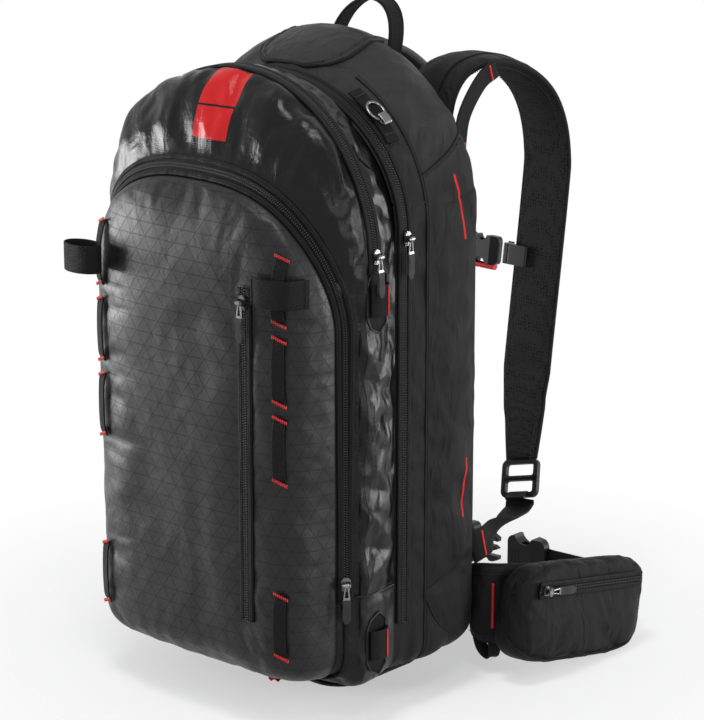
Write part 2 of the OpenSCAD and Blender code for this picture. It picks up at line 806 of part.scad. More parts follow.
// Grip with a stem that runs in the sleeve
module trigger_handle() {
  grip_l = 62;
  grip_t = 14;
  grip_w = 28;
  grip_y = -1.5;
  hole_w = 18;
  color(red)
    place()
      on_left_strap(sleeve_from + sleeve_l)
        translate([0, -strap_face - sleeve_t / 2, 0]) {
          translate([0, 0, -1])
            cylinder(h = sleeve_l - 4, r = stem_r);
          difference() {
            intersection() {
              translate([0, grip_y + grip_t / 2, -gap - grip_l / 2])
                rotate([90, 0, 0])
                  linear_extrude(height = grip_t)
                    difference() {
                      rounded(grip_w, grip_l, 11);
                      // finger hole
                      translate([0, -4])
                        rounded(hole_w, 30, hole_w / 2 - 0.1);
                    }
              // thinner towards its lower end
              translate([-grip_w, grip_y, -gap])
                rotate([90, 0, 90])
                  linear_extrude(height = 2 * grip_w)
                    polygon([[-grip_t / 2, 0], [grip_t / 2, 0], [grip_t / 2, -grip_l / 2],
                      [grip_t / 2 - 3, -grip_l], [3 - grip_t / 2, -grip_l], [-grip_t / 2, -grip_l / 2]]);
            }
            // grooves for a gloved hand
            for (side = [-1, 1], k = [0:3])
              translate([side * (grip_w / 2 + 1), grip_t, -grip_l / 2 + 8 - 7 * k])
                rotate([90, 0, 0])
                  cylinder(h = 2 * grip_t, r = 2.2);
          }
        }
}

// Cable from the sleeve over the shoulder along the inner edge of the strap, into the bag and to the lever
module trigger_cable() {
  edge = strap_w / 2 + cable_r + 3 * gap;
  aside = [14, edge - 7, edge];
  raised = [12, 11, 8];
  over = [
    for (k = [0:strap_count - 6])
      let (i = strap_count - 4 - k, p = strap_path[i], out = cross([1, 0, 0], tangent(strap_path, i)))
      [-p.x + (k < 3 ? aside[k] : edge), p.y, p.z] + out * (k < 3 ? raised[k] : 0)
  ];
  sleeve_top = [trigger_x, strap_top.y, strap_top.z] + strap_down * (sleeve_from - gap)
    + cross([1, 0, 0], strap_down) * (strap_face + sleeve_t / 2);
  entry = [[port.x, y_pad + 12, port.z + 22], [port.x, y_pad + 7, port.z], [port.x, y_sheet - 8, port.z]];
  stop_z = lever_z + lever_tip * sin(lever_swing) + 6;
  top = [gas_x - lever_arm - lever_tip, gas_y, stop_z + 16];
  inside = [[port.x - 16, y_sheet - 18, port.z - 10], [gas_x, y_sheet - 26, port.z - 24],
    [top.x, gas_y + 8, min(lever_z + 62, port.z - 34)], top, [top.x, top.y, stop_z]];
  path = concat([sleeve_top], over, entry, inside);
  color(black)
    place()
      ribbon(path,
        [for (i = [0:len(path) - 1]) abs(tangent(path, i).x) > 0.8 ? [0, 0, 1] : [1, 0, 0]],
        [for (p = path) 2 * cable_r], 2 * cable_r, cable_r * 0.58);
}

// Sternum strap

sternum_along = 62;
sternum_w = 20;
rail_x = strap_x - 18;
module on_strap(along) {
  at([0, strap_top.y, strap_top.z] + strap_down * along, [1, 0, 0], -strap_down)
    children();
}

// Clip that runs on the strap
module sternum_clip() {
  edge = strap_x - strap_w / 2;
  foot_l = rail_x + 13 - edge;
  place()
    on_strap(sternum_along)
      translate([0, 0, -sternum_w / 2])
        linear_extrude(height = sternum_w) {
          translate([edge - 2 + foot_l / 2, -strap_face - 2.5])
            rounded(foot_l, 5, 1.6);
          translate([edge - 4 - gap, -strap_face])
            rounded(8, 10, 2.4);
        }
}
module sternum_slider_right() {
  color(black)
    sternum_clip();
}
module sternum_slider_left() {
  color(black)
    mirror([1, 0, 0])
      sternum_clip();
}

buckle_l = 34;
buckle_x = 19;
sternum_y = -strap_face;
// the left webbing lies over the prongs, so that the prong half can slide along it
prong_t = 3;
web_rise = prong_t / 2 + webbing_t / 2 + 0.9;
module sternum_web(from, to, rise = 0) {
  place()
    on_strap(sternum_along)
      translate([from, sternum_y + rise - webbing_t / 2, -sternum_w / 2])
        cube([to - from, webbing_t, sternum_w]);
}
sternum_inner = strap_x - strap_w / 2 - 8 - 2 * gap;
module sternum_strap_right() {
  color(black)
    sternum_web(buckle_x + buckle_l / 2 + gap, sternum_inner);
}
module sternum_strap_left() {
  color(black)
    sternum_web(-sternum_inner, buckle_x - buckle_l / 2 - 3, web_rise);
}

// Socket half with the whistle
module sternum_buckle_female() {
  h = sternum_w + 8;
  t = 10;
  whistle_r = 3.2;
  color(red)
    place()
      on_strap(sternum_along)
        translate([buckle_x - buckle_l / 2, sternum_y, 0]) {
          difference() {
            intersection() {
              panel(-t / 2, t)
                translate([buckle_l / 2, 0])
                  rounded(buckle_l, h, 5);
              // thinner towards its webbing
              translate([0, 0, -h])
                linear_extrude(height = 2 * h)
                  polygon([[0, -t / 2], [buckle_l - 10, -t / 2], [buckle_l, 1.8 - t / 2],
                    [buckle_l, t / 2 - 1.8], [buckle_l - 10, t / 2], [0, t / 2]]);
            }
            translate([-1, -3, -sternum_w / 2])
              cube([buckle_l - 8, 6, sternum_w]);
            // windows where the side prongs are pressed
            for (side = [-1, 1])
              translate([13, t, side * (h / 2 + 1)])
                rotate([90, 0, 0])
                  cylinder(h = 2 * t, r = 6.5);
          }
          // whistle under the socket
          translate([4, 0, -h / 2 - whistle_r + 1])
            rotate([0, 90, 0])
              difference() {
                cylinder(h = buckle_l - 8, r = whistle_r);
                translate([0, 0, -1])
                  cylinder(h = buckle_l - 14, r = whistle_r - 1.1);
                translate([whistle_r - 1.6, -whistle_r, 5])
                  cube([whistle_r, 2 * whistle_r, 3]);
              }
        }
}

// Prong half with a loop that slides on its webbing
module sternum_buckle_male() {
  h = sternum_w + 8;
  loop_l = 12;
  loop_t = web_rise + webbing_t / 2 + 6;
  reach = sternum_w / 2 - 1;
  color(black)
    place()
      on_strap(sternum_along)
        translate([buckle_x - buckle_l / 2 - gap, sternum_y, 0])
          difference() {
            union() {
              panel(-4, loop_t)
                translate([-loop_l / 2, 0])
                  rounded(loop_l, h, 3);
              panel(-prong_t / 2, prong_t) {
                // springy arms with a catch at their ends, and the guide between them
                for (side = [-1, 1])
                  polygon([[-1, side * (reach - 3)], [20, side * (reach - 3.4)], [20, side * (reach - 1.4)],
                    [16, side * reach], [13, side * reach], [12, side * (reach - 1.4)], [-1, side * reach]]);
                polygon([[-1, 1.5], [17, 1.2], [20, 0], [17, -1.2], [-1, -1.5]]);
              }
            }
            translate([-loop_l - 1, web_rise - webbing_t / 2 - 0.4, -sternum_w / 2 - 0.4])
              cube([loop_l + 2, webbing_t + 0.8, sternum_w + 0.8]);
          }
}

// Hip belt

wing_hinge = [half_w - 14, y_pad + wing_t / 2 + 0.5];
// X from the hinge, Y behind the hinge, middle height and share of the full height along a wing
wing_steps = [[-7, 0, 44, 0.9], [4, 1, 44, 0.97], [16, 12, 42, 1], [27, 36, 38, 1], [36, 74, 33, 0.97],
  [40, 120, 26, 0.9], [38, 165, 19, 0.82], [30, 190, 15, 0.6]];
wing_path = [for (s = wing_steps) [wing_hinge.x + s[0], wing_hinge.y + s[1], s[2]]];
wing_tip = wing_path[len(wing_path) - 1];

module hip_wing() {
  loop_w = 12;
  side = wing_t / 2 + webbing_t / 2 + gap;
  foot = wing_path[1] - [0, 0, wing_h / 2];
  loop = [
    foot + [side, 4, 9],
    foot + [wing_t / 2 + 1.5, 7, -8],
    foot + [4, 8, -16],
    foot + [-wing_t / 2 + 2, 5, -8],
    foot + [-side, 2, 9]
  ];
  place() {
    ribbon(wing_path, [for (p = wing_path) up], [for (s = wing_steps) wing_h * s[3]], wing_t, wing_t * 0.3);
    ribbon(loop, [for (p = loop) [0.5, 0.86, 0]], [for (p = loop) loop_w], webbing_t);
  }
}
module hip_wing_right() {
  color(black)
    hip_wing();
}
module hip_wing_left() {
  color(black)
    mirror([1, 0, 0])
      hip_wing();
}

// Zipped pocket on the outside of the right wing, straight outside and shaped to the wing inside
hip_slope = -0.17;
hip_dir = unit([0.04, 1, hip_slope]);
hip_up = unit([0, -hip_slope, 1]);
hip_out = cross(hip_dir, hip_up);
hip_origin = [wing_hinge.x + 62, wing_hinge.y - 12, 43];
hip_zip_v = hip_pocket_h * 0.27;
hip_zip_from = hip_pocket_l * 0.1;
hip_zip_to = hip_pocket_l * 0.9;

// Stand-off of the pocket's inner face from its outer face at distance u along the pocket
function hip_depth(u) =
  let (p = hip_origin + hip_dir * u)
  p.x - wing_hinge.x - wing_t / 2 - lookup(p.y - wing_hinge.y,
    [[-20, 19], [12, 22], [36, 31.5], [74, 39], [120, 42], [165, 41], [190, 36]]);
function hip_round(f, n, p) = pow(1 - pow(abs(2 * f - 1), n), p);
module hip_pocket() {
  shares = [0.012, 0.04, 0.09, 0.16, 0.3, 0.5, 0.7, 0.84, 0.91, 0.96, 0.988];
  section = [[-1, 0.9], [-0.97, 0.5], [-0.8, 0.1], [-0.45, 0], [0.74, 0], [0.92, 0.1], [1, 0.45], [0.98, 0.9],
    [0.8, 1], [-0.8, 1]];
  color(grey)
    place()
      solid_skin([for (f = shares)
        let (u = f * hip_pocket_l, h = hip_pocket_h / 2 * hip_round(f, 4, 0.3), d = hip_depth(u),
             sunk = d * 0.8 * (1 - hip_round(f, 10, 0.5)))
        [for (q = section) hip_origin + hip_dir * u + hip_up * (h * q.x) - hip_out * mix(sunk, d, q.y)]]);
}
module hip_pocket_zip() {
  color(black)
    place()
      at(hip_origin + hip_up * hip_zip_v + hip_out * zip_lift, hip_dir, hip_out)
        translate([hip_zip_from, -zip_w / 2, 0])
          cube([hip_zip_to - hip_zip_from, zip_w, zip_t]);
}

hip_web_w = 30;
function hip_web_path(end) = [wing_tip + [-0.4, 1.4, 0], wing_tip + [-14, 11, -2], wing_tip + [-50, 16, -4],
  [end + 12, wing_tip.y + 17, wing_tip.z - 6], [end, wing_tip.y + 17, wing_tip.z - 6]];
module hip_webbing(end) {
  path = hip_web_path(end);
  place()
    ribbon(path, [for (p = path) [0, 0, 1]], [for (p = path) hip_web_w], webbing_t);
}
hip_buckle_l = 46;
hip_female_x = 14;
hip_male_x = -46;
module hip_webbing_right() {
  color(black)
    hip_webbing(hip_female_x + hip_buckle_l);
}
module hip_webbing_left() {
  color(black)
    mirror([1, 0, 0])
      hip_webbing(-hip_male_x);
}
hip_buckle_y = wing_tip.y + 17;
hip_buckle_z = wing_tip.z - 6;
module hip_buckle_female() {
  h = hip_web_w + 14;
  t = 14;
  color(black)
    place()
      translate([hip_female_x - gap, hip_buckle_y, hip_buckle_z])
        difference() {
          intersection() {
            panel(-t / 2, t)
              translate([hip_buckle_l / 2, 0])
                rounded(hip_buckle_l, h, 8);
            // thinner towards its webbing
            translate([0, 0, -h])
              linear_extrude(height = 2 * h)
                polygon([[0, -t / 2], [hip_buckle_l - 16, -t / 2], [hip_buckle_l, 3 - t / 2],
                  [hip_buckle_l, t / 2 - 3], [hip_buckle_l - 16, t / 2], [0, t / 2]]);
          }
          translate([-1, -4, -hip_web_w / 2])
            cube([hip_buckle_l - 9, 8, hip_web_w]);
          // windows where the side prongs are pressed
          for (side = [-1, 1])
            translate([20, t, side * (h / 2 + 3)])
              rotate([90, 0, 0])
                cylinder(h = 2 * t, r = 11);
          // grip grooves on both faces
          for (side = [-1, 1], k = [0:2])
            translate([6 + 4 * k, side * (t / 2 + 0.4), -hip_web_w / 4])
              cylinder(h = hip_web_w / 2, r = 1);
        }
}
module hip_buckle_male() {
  h = hip_web_w + 12;
  base_l = 14;
  tip = base_l + 29;
  reach = hip_web_w / 2;
  color(black)
    place()
      translate([hip_male_x + gap, hip_buckle_y, hip_buckle_z]) {
        panel(-6, 12)
          translate([base_l / 2, 0])
            rounded(base_l, h, 5);
        panel(-3, 6) {
          // springy arms with a catch at their ends, and the guide between them
          for (side = [-1, 1])
            polygon([[base_l - 1, side * (reach - 6)], [tip, side * (reach - 7)], [tip, side * (reach - 3)],
              [tip - 7, side * reach], [tip - 12, side * reach], [tip - 14, side * (reach - 2.6)],
              [base_l - 1, side * (reach - 0.5)]]);
          polygon([[base_l - 1, 3], [tip - 5, 2.4], [tip, 0], [tip - 5, -2.4], [base_l - 1, -3]]);
        }
      }
}

// Zips

module pocket_zip() {
  end = 96;
  color(black)
    place()
      band(ring_arch(zip_outer, end), ring_arch(zip_inner, end), zip_lift, zip_t, bag_middle);
}
module tool_zip() {
  end = arch_z - 8;
  color(black)
    place()
      band(ring_arch(tool_rings[1], end), ring_arch(tool_rings[2], end), zip_lift, zip_t, bag_middle);
}

// Edge of the main zip at depth y, over the whole bag from its end on each side
main_zip_end = 62;
main_zip_lift = 0.9;
main_zip_y = y_main + 0.09 * main_d;
function main_zip_edge(y) =
  let (s = dome_step(y), w = main_w(s), top = main_top(s))
  concat([for (i = [0:side_steps - 1]) [w, y, mix(main_zip_end, main_zc, i / side_steps)]],
    [for (i = [0:arch_steps]) let (p = main_arch(w, top, 180 * i / arch_steps)) [p.x, y, p.y]],
    [for (i = [1:side_steps]) [-w, y, mix(main_zc, main_zip_end, i / side_steps)]]);
module main_zip() {
  color(black)
    place()
      band(main_zip_edge(main_zip_y - zip_w / 2), main_zip_edge(main_zip_y + zip_w / 2), main_zip_lift, zip_t,
        bag_middle);
}

slash_x = pocket_half - 66;
slash_z0 = 78;
slash_z1 = arch_z - 20;
module slash_zip() {
  color(black)
    place()
      translate([slash_x - zip_w / 2, front_y - zip_lift - zip_t, slash_z0])
        cube([zip_w, zip_t, slash_z1 - slash_z0]);
}

// Slider with two ears and the pin that its pull hangs on: X along its travel, Z away from the zip
pin_h = 5.2;
pin_r = 1.1;
// Plan of a slider: round shoulders where the teeth part, narrower where they are closed
module slider_plan(inset) {
  shoulder = 4.5 - inset;
  tail = 3.3 - inset;
  translate([2, 0])
    circle(shoulder);
  polygon([[2, shoulder], [inset - 6.5, tail], [inset - 6.5, -tail], [2, -shoulder]]);
}
module slider() {
  ear = 1.2;
  ear_y = 2.5;
  head = 0.4;
  linear_extrude(height = 1.5)
    slider_plan(0);
  linear_extrude(height = 2.2)
    slider_plan(0.7);
  // ears, rounded over the riveted pin
  for (side = [-1, 1])
    translate([0, side * (ear_y + ear / 2) + ear / 2, 0])
      rotate([90, 0, 0])
        linear_extrude(height = ear) {
          translate([0, pin_h])
            circle(2);
          polygon([[-3.2, 2], [3.2, 2], [2, pin_h], [-2, pin_h]]);
        }
  translate([0, ear_y + ear + head, pin_h])
    rotate([90, 0, 0])
      cylinder(h = 2 * (ear_y + ear + head), r = pin_r);
}
// Wire loop on the pin, with a moulded tab that is waisted in plan and tapered in thickness
module pull() {
  w = 4.2;
  wire_r = 0.8;
  wire_l = 11.5;
  wire_turn = 7;
  tab = 11;
  plan = [[-tab, 2.4], [-tab - 4, 4], [-tab - 7, 3.3], [5 - pull_l, 4], [-pull_l, 1.8]];
  side_view = [[1 - tab, 0.9], [-tab - 5, 1.4], [6 - pull_l, 1.4], [-pull_l - 1, 0.8]];
  difference() {
    union() {
      translate([0, w / 2, pin_h])
        rotate([90, 0, 0])
          cylinder(h = w, r = 2.5);
      for (side = [-1, 1])
        translate([-1.6, side * 1.2, pin_h])
          rotate([0, 90, 180 - side * wire_turn])
            cylinder(h = wire_l, r = wire_r);
      intersection() {
        translate([0, 0, pin_h - 2])
          linear_extrude(height = 4)
            polygon(concat(plan, [for (q = reversed(plan)) [q.x, -q.y]]));
        translate([0, 5, pin_h])
          rotate([90, 0, 0])
            linear_extrude(height = 10)
              polygon(concat(side_view, [for (q = reversed(side_view)) [q.x, -q.y]]));
      }
      // grip ribs
      for (k = [0:2])
        translate([-tab - 9 - 3.2 * k, -2.4, pin_h - 1.7])
          cube([1.3, 4.8, 3.4]);
    }
    translate([0, w, pin_h])
      rotate([90, 0, 0])
        cylinder(h = 2 * w, r = pin_r + run_fit);
  }
}

zip_across = unit([zip_outer[0] - zip_inner[0], zip_outer[5] - zip_inner[5], 0]);
zip_out = [zip_across.y, -zip_across.x, 0];
pocket_slider_z = 114;
module on_pocket_zip() {
  middle = [(zip_outer[0] + zip_inner[0]) / 2, (zip_outer[5] + zip_inner[5]) / 2, pocket_slider_z];
  place()
    at(middle + zip_out * slider_lift, up, zip_out)
      children();
}
module pocket_slider() {
  color(metal)
    on_pocket_zip()
      slider();
}
module pocket_pull() {
  color(grey)
    on_pocket_zip()
      pull();
}

tool_slider_a = 2.5;
module on_tool_zip() {
  out = [cos(tool_slider_a), 0, sin(tool_slider_a)];
  place()
    at([0, -ridge_d, arch_z] + out * (half_w + slider_lift), [-out.z, 0, out.x], out)
      children();
}
module tool_slider() {
  color(metal)
    on_tool_zip()
      slider();
}
module tool_pull() {
  color(grey)
    on_tool_zip()
      pull();
}

main_slider_z = main_zc - 4;
module on_main_zip() {
  w = main_w(dome_step(main_zip_y));
  place()
    at([w + slider_lift + main_zip_lift, main_zip_y, main_slider_z], up, [1, 0, 0])
      children();
}
module main_slider() {
  color(metal)
    on_main_zip()
      slider();
}
module main_pull() {
  color(grey)
    on_main_zip()
      pull();
}

slash_slider_z = slash_z1 - 12;
module on_slash_zip() {
  place()
    at([slash_x, front_y - slider_lift, slash_slider_z], up, [0, -1, 0])
      children();
}
module slash_slider() {
  color(metal)
    on_slash_zip()
      slider();
}
module slash_pull() {
  color(grey)
    on_slash_zip()
      pull();
}

hip_slider_u = hip_zip_from + 9;
module on_hip_zip() {
  place()
    at(hip_origin + hip_dir * hip_slider_u + hip_up * hip_zip_v + hip_out * slider_lift, -hip_dir, hip_out)
      children();
}
module hip_slider() {
  color(metal)
    on_hip_zip()
      slider();
}
module hip_pull() {
  color(grey)
    on_hip_zip()
      pull();
}

// Webbing on the outside of the bag

chain_x = pocket_half - 30;
chain_starts = [0.123, 0.528, 0.706, 0.884];
chain_l = 0.143 * arch_z;
// Y at which webbing of width w lies on the pocket at the daisy chain
function chain_y(z, w) =
  min(pocket_y(chain_x, z), (pocket_y(chain_x - w / 2, z) + pocket_y(chain_x + w / 2, z)) / 2);
module daisy_chains() {
  rise = 2.6;
  w = 12;
  color(black)
    place()
      both_sides()
        for (start = chain_starts) {
          zs = [for (f = [0, 0.12, 0.5, 0.88, 1]) start * arch_z + f * chain_l];
          lift = [0, rise, rise + 1, rise, 0];
          slope = (pocket_y(chain_x + w / 2, zs[2]) - pocket_y(chain_x - w / 2, zs[2])) / w;
          path = [for (k = [0:4]) [chain_x, chain_y(zs[k], w) - 2 - lift[k], zs[k]]];
          ribbon(path, [for (p = path) [1, slope, 0]], [for (p = path) w], 1.6);
        }
}

// Flat ice-axe band on the right and an open loop on the left
axe_z = arch_z - 20;
module axe_loops() {
  w = 26;
  t = 1.8;
  outer = chain_x + 20;
  inner = chain_x - 26;
  low = axe_z - w / 2;
  flat_path = [for (q = [[inner, 3], [chain_x - 12, 9], [chain_x + 10, 11.5], [outer, 4.5]])
    [q.x, pocket_y(q.x, low) - q.y, axe_z]];
  loop_c = [-chain_x - 4, pocket_y(-chain_x - 4, low) - 22.2, axe_z];
  loop_path = [for (a = [70:-40:-290]) loop_c + [20 * cos(a), 12 * sin(a), 0]];
  color(black)
    place() {
      ribbon(flat_path, [for (p = flat_path) up], [for (p = flat_path) w], t);
      ribbon(loop_path, [for (p = loop_path) up], [for (p = loop_path) w], t);
    }
}

// Ski loops that come out of the side gussets
ski_shares = [0.918, 0.128];
module ski_loops() {
  w = 28;
  color(black)
    place()
      both_sides()
        for (share = ski_shares) {
          path = [for (q = [[0.2, 19], [5, 12], [5, 2], [1.4, -5]])
            [half_w + q.x, -ridge_d + q.y, share * arch_z]];
          ribbon(path, [for (p = path) up], [for (p = path) w], webbing_t);
        }
}

// Compression strap with its hook, across the right shoulder of the bag
module hook_strap() {
  y = main_y(main_steps[1]) + 2;
  step = dome_step(y + 9);
  angles = [34:6:58];
  path = [for (a = angles) let (p = main_arch(main_w(step) + 2, main_top(step) + 2, a)) [p.x, y, p.y]];
  ring_r = 8.5;
  wire_r = 1.4;
  out = unit(cross([0, 1, 0], tangent(path, 2)));
  color(black)
    place()
      ribbon(path, [for (p = path) [0, 1, 0.3]], [for (p = path) 14], webbing_t);
  color(metal)
    place()
      at(path[2] + out * (webbing_t / 2 + wire_r - 0.4), [0, 1, 0], out)
        rotate_extrude()
          translate([ring_r, 0])
            circle(wire_r);
}

main_bag();
airbag_cover();
airbag();
divider();
tool_pocket();
front_pocket();
base_panel();
frame_sheet();
frame_stays();
back_panel();
back_pads();
shoulder_strap_right();
shoulder_strap_left();
ladder_locks();
strap_webbing();
load_lifters();
carry_handle();
handle_anchors();
airbag_flap();
gas_cylinder();
inflation_head();
release_lever();
firing_pin();
inflation_hose();
cylinder_bracket();
handle_sleeve();
trigger_handle();
trigger_cable();
sternum_slider_right();
sternum_slider_left();
sternum_strap_right();
sternum_strap_left();
sternum_buckle_female();
sternum_buckle_male();
hip_wing_right();
hip_wing_left();
hip_pocket();
hip_pocket_zip();
hip_webbing_right();
hip_webbing_left();
hip_buckle_female();
hip_buckle_male();
pocket_zip();
tool_zip();
main_zip();
slash_zip();
pocket_slider();
pocket_pull();
tool_slider();
tool_pull();
main_slider();
main_pull();
slash_slider();
slash_pull();
hip_slider();
hip_pull();
daisy_chains();
axe_loops();
ski_loops();
hook_strap();
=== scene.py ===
"""Looks of the avalanche airbag backpack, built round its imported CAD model.

Shapes are worked out in the pack's own millimetres (X to the right, Y to the wearer, Z up, with the
divider sheet at Y = 0 and the base near Z = 0) and moved into the model's frame by place().
"""

import math

import bmesh
import bpy
import numpy as np
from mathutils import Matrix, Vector, noise
from mathutils.bvhtree import BVHTree

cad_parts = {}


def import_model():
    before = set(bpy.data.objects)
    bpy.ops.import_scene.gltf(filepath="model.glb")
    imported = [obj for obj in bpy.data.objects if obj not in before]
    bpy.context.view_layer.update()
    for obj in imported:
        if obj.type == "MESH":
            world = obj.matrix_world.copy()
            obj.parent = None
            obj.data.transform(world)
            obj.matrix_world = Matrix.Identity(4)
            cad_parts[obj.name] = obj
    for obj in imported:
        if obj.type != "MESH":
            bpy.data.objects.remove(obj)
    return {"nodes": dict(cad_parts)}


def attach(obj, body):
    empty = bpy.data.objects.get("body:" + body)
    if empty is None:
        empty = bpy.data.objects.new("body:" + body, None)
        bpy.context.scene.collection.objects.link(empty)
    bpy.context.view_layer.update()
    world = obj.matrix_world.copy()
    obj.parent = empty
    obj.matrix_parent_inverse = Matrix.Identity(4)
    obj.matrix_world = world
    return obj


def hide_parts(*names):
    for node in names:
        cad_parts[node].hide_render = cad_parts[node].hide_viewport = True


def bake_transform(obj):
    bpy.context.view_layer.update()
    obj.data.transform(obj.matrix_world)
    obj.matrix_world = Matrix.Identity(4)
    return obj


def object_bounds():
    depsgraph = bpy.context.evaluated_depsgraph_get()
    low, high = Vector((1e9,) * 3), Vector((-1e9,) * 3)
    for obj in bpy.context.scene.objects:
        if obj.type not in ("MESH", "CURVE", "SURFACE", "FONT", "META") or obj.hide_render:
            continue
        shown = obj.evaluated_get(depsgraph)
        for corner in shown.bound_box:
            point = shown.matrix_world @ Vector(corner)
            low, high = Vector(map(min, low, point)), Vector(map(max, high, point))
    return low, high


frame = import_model()
cad_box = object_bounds()

# Driving sizes of the pack in millimetres, as in the CAD model
HALF_W = 155.0
ARCH_Z = 405.0
MAIN_D = 116.0
RIDGE_D = 30.0
POCKET_D = 50.0
BASE_Z = 4.5
ZIP_W = 16.0
GAP = 0.3
Y_MAIN = 1.0 + GAP
Y_SHEET = Y_MAIN + MAIN_D + GAP
Y_FOAM = Y_SHEET + 2 + GAP
FOAM_T = 9.5
Y_PAD = Y_FOAM + FOAM_T + GAP
PAD_T = 8.0
Y_BACK = Y_PAD + PAD_T
LUMBAR_Z = 78.0
FOOT_SEAM_Z = 101.0
DOME_RISE = 21.0
MAIN_ZC = ARCH_Z + 20
FLOOR_SIDE = ARCH_Z + 43
FLOOR_RISE = 41.0
POCKET_ZC = ARCH_Z - 65
POCKET_HALF = HALF_W - 13
POCKET_TOP = ARCH_Z + HALF_W - 91
POCKET_Y_SIDE = -RIDGE_D - 30
POCKET_Y_TOP = -RIDGE_D - 60
FRONT_Y = POCKET_Y_SIDE - POCKET_D
CORNER = 50.0
CORNER_POWER = 5.0
# A millimetre in metres, and a distance in metres that is past the whole pack
MM = 0.001
FAR = 1.0
UP = np.array([0.0, 0.0, 1.0])
RIGHT = np.array([1.0, 0.0, 0.0])
TO_WEARER = np.array([0.0, 1.0, 0.0])


# Sums

def place(points):
    """Pack millimetres to metres in the model's frame."""
    return (np.asarray(points, float) - [0, Y_BACK, LUMBAR_Z]) * MM


def frame_y(y):
    """Y of a pack depth in metres in the model's frame."""
    return float(place([0, y, 0])[1])


def frame_z(z):
    """Z of a pack height in metres in the model's frame."""
    return float(place([0, 0, z])[2])


def unit(v):
    v = np.asarray(v, float)
    return v / np.maximum(np.linalg.norm(v, axis=-1, keepdims=True), 1e-9)


def mix(a, b, t):
    return a + (b - a) * t


def smooth(a, b, x):
    t = np.clip((x - a) / (b - a), 0, 1)
    return t * t * (3 - 2 * t)


def arc_length(points):
    """Distance along a path at each of its points."""
    steps = np.linalg.norm(np.diff(points, axis=0), axis=1)
    return np.concatenate([[0], np.cumsum(steps)])


def resample(points, count):
    """The path again, with count evenly spaced points."""
    points = np.asarray(points, float)
    along = arc_length(points)
    wanted = np.linspace(0, along[-1], count)
    return np.stack([np.interp(wanted, along, points[:, k]) for k in range(points.shape[1])], axis=1)


def curve_through(points, step):
    """Smooth path through the points, with evenly spaced points about step apart."""
    p = np.asarray(points, float)
    ends = np.concatenate([[2 * p[0] - p[1]], p, [2 * p[-1] - p[-2]]])
    t = np.linspace(0, 1, 24, endpoint=False)[:, None]
    pieces = []
    for k in range(len(p) - 1):
        a, b, c, d = ends[k:k + 4]
        pieces.append(0.5 * (2 * b + (c - a) * t + (2 * a - 5 * b + 4 * c - d) * t ** 2
                             + (3 * b - a - 3 * c + d) * t ** 3))
    dense = np.concatenate(pieces + [p[-1:]])
    return resample(dense, max(3, int(round(arc_length(dense)[-1] / step)) + 1))


def tangents(path):
    return unit(np.gradient(path, axis=0))


def along_frame(path, across):
    """Directions across and out of a strip along a path."""
    t = tangents(path)
    a = np.broadcast_to(np.asarray(across, float), path.shape)
    a = unit(a - t * (a * t).sum(axis=1, keepdims=True))
    return a, np.cross(t, a)


def at_depth(flat, y):
    """Points in space from pairs of X and Z, at one depth or at a depth for each."""
    return np.stack([flat[:, 0], np.broadcast_to(y, len(flat)), flat[:, 1]], axis=1)


def ripple(points, scale, seed=0.0):
    """Smooth noise from -1 to 1 at each point, with features of about the given size in millimetres."""
    return np.array([noise.noise(Vector(p) / scale + Vector((seed, 2 * seed, 3 * seed))) for p in points])


# Outlines of the bag

def foot_curve(w, base):
    """Rounded lower corner of a ring, from the middle of its base to its side."""
    a = np.linspace(0, math.pi / 2, 80)
    return np.stack([w * np.sin(a) ** (2 / CORNER_POWER),
                     base + CORNER - CORNER * np.cos(a) ** (2 / CORNER_POWER)], axis=1)


def arch_curve(w, zc, top, squareness, count):
    """Quarter of a ring's top curve, from its side to the middle of its top."""
    a = np.linspace(0, math.pi / 2, count)
    return np.stack([w * np.cos(a) ** (2 / squareness),
                     zc + (top - zc) * np.sin(a) ** (2 / squareness)], axis=1)


def half_ring(w, base, zc, top_curve, counts):
    """Right half of a ring in the XZ plane: its foot, its side and a top curve that starts at zc."""
    side = [[w, base + CORNER], [w, zc]]
    parts = [resample(part, n) for part, n in zip((foot_curve(w, base), side, top_curve), counts)]
    return np.concatenate([parts[0][:-1], parts[1][:-1], parts[2]])


def half_outline(w, zc, top, base, squareness, counts):
    """Right half of a ring from the middle of its base to the middle of its top."""
    return half_ring(w, base, zc, arch_curve(w, zc, top, squareness, 80), counts)


def whole_outline(half):
    """Closed ring from its right half."""
    left = half[-2:0:-1] * [-1, 1]
    return np.concatenate([half, left])


# A ring is half width, start of its top curve, top, base, squareness, y at its sides and y at its top
TOOL_RINGS = [
    (HALF_W - 3, ARCH_Z, ARCH_Z + HALF_W - 5, BASE_Z, 2, -Y_MAIN, -Y_MAIN),
    (HALF_W, ARCH_Z, ARCH_Z + HALF_W, BASE_Z, 2, -RIDGE_D + ZIP_W / 2, -RIDGE_D + ZIP_W / 2),
    (HALF_W, ARCH_Z, ARCH_Z + HALF_W, BASE_Z, 2, -RIDGE_D - ZIP_W / 2, -RIDGE_D - ZIP_W / 2),
    (HALF_W - 4, ARCH_Z - 20, ARCH_Z + HALF_W - 14, BASE_Z + 2, 2.8, -RIDGE_D - 13, -RIDGE_D - 23),
    (HALF_W - 6, ARCH_Z - 40, ARCH_Z + HALF_W - 40, BASE_Z + 4, 2.9, -RIDGE_D - 15.5, -RIDGE_D - 38),
    (POCKET_HALF + 5, POCKET_ZC + 8, POCKET_TOP + 17, BASE_Z + 6, 2.5, POCKET_Y_SIDE + 12, POCKET_Y_TOP + 9),
    (POCKET_HALF - 4, POCKET_ZC, POCKET_TOP - 1, BASE_Z + 12, 2.6, POCKET_Y_SIDE + 1, POCKET_Y_TOP),
]
ZIP_OUTER = TOOL_RINGS[5]
ZIP_INNER = TOOL_RINGS[6]
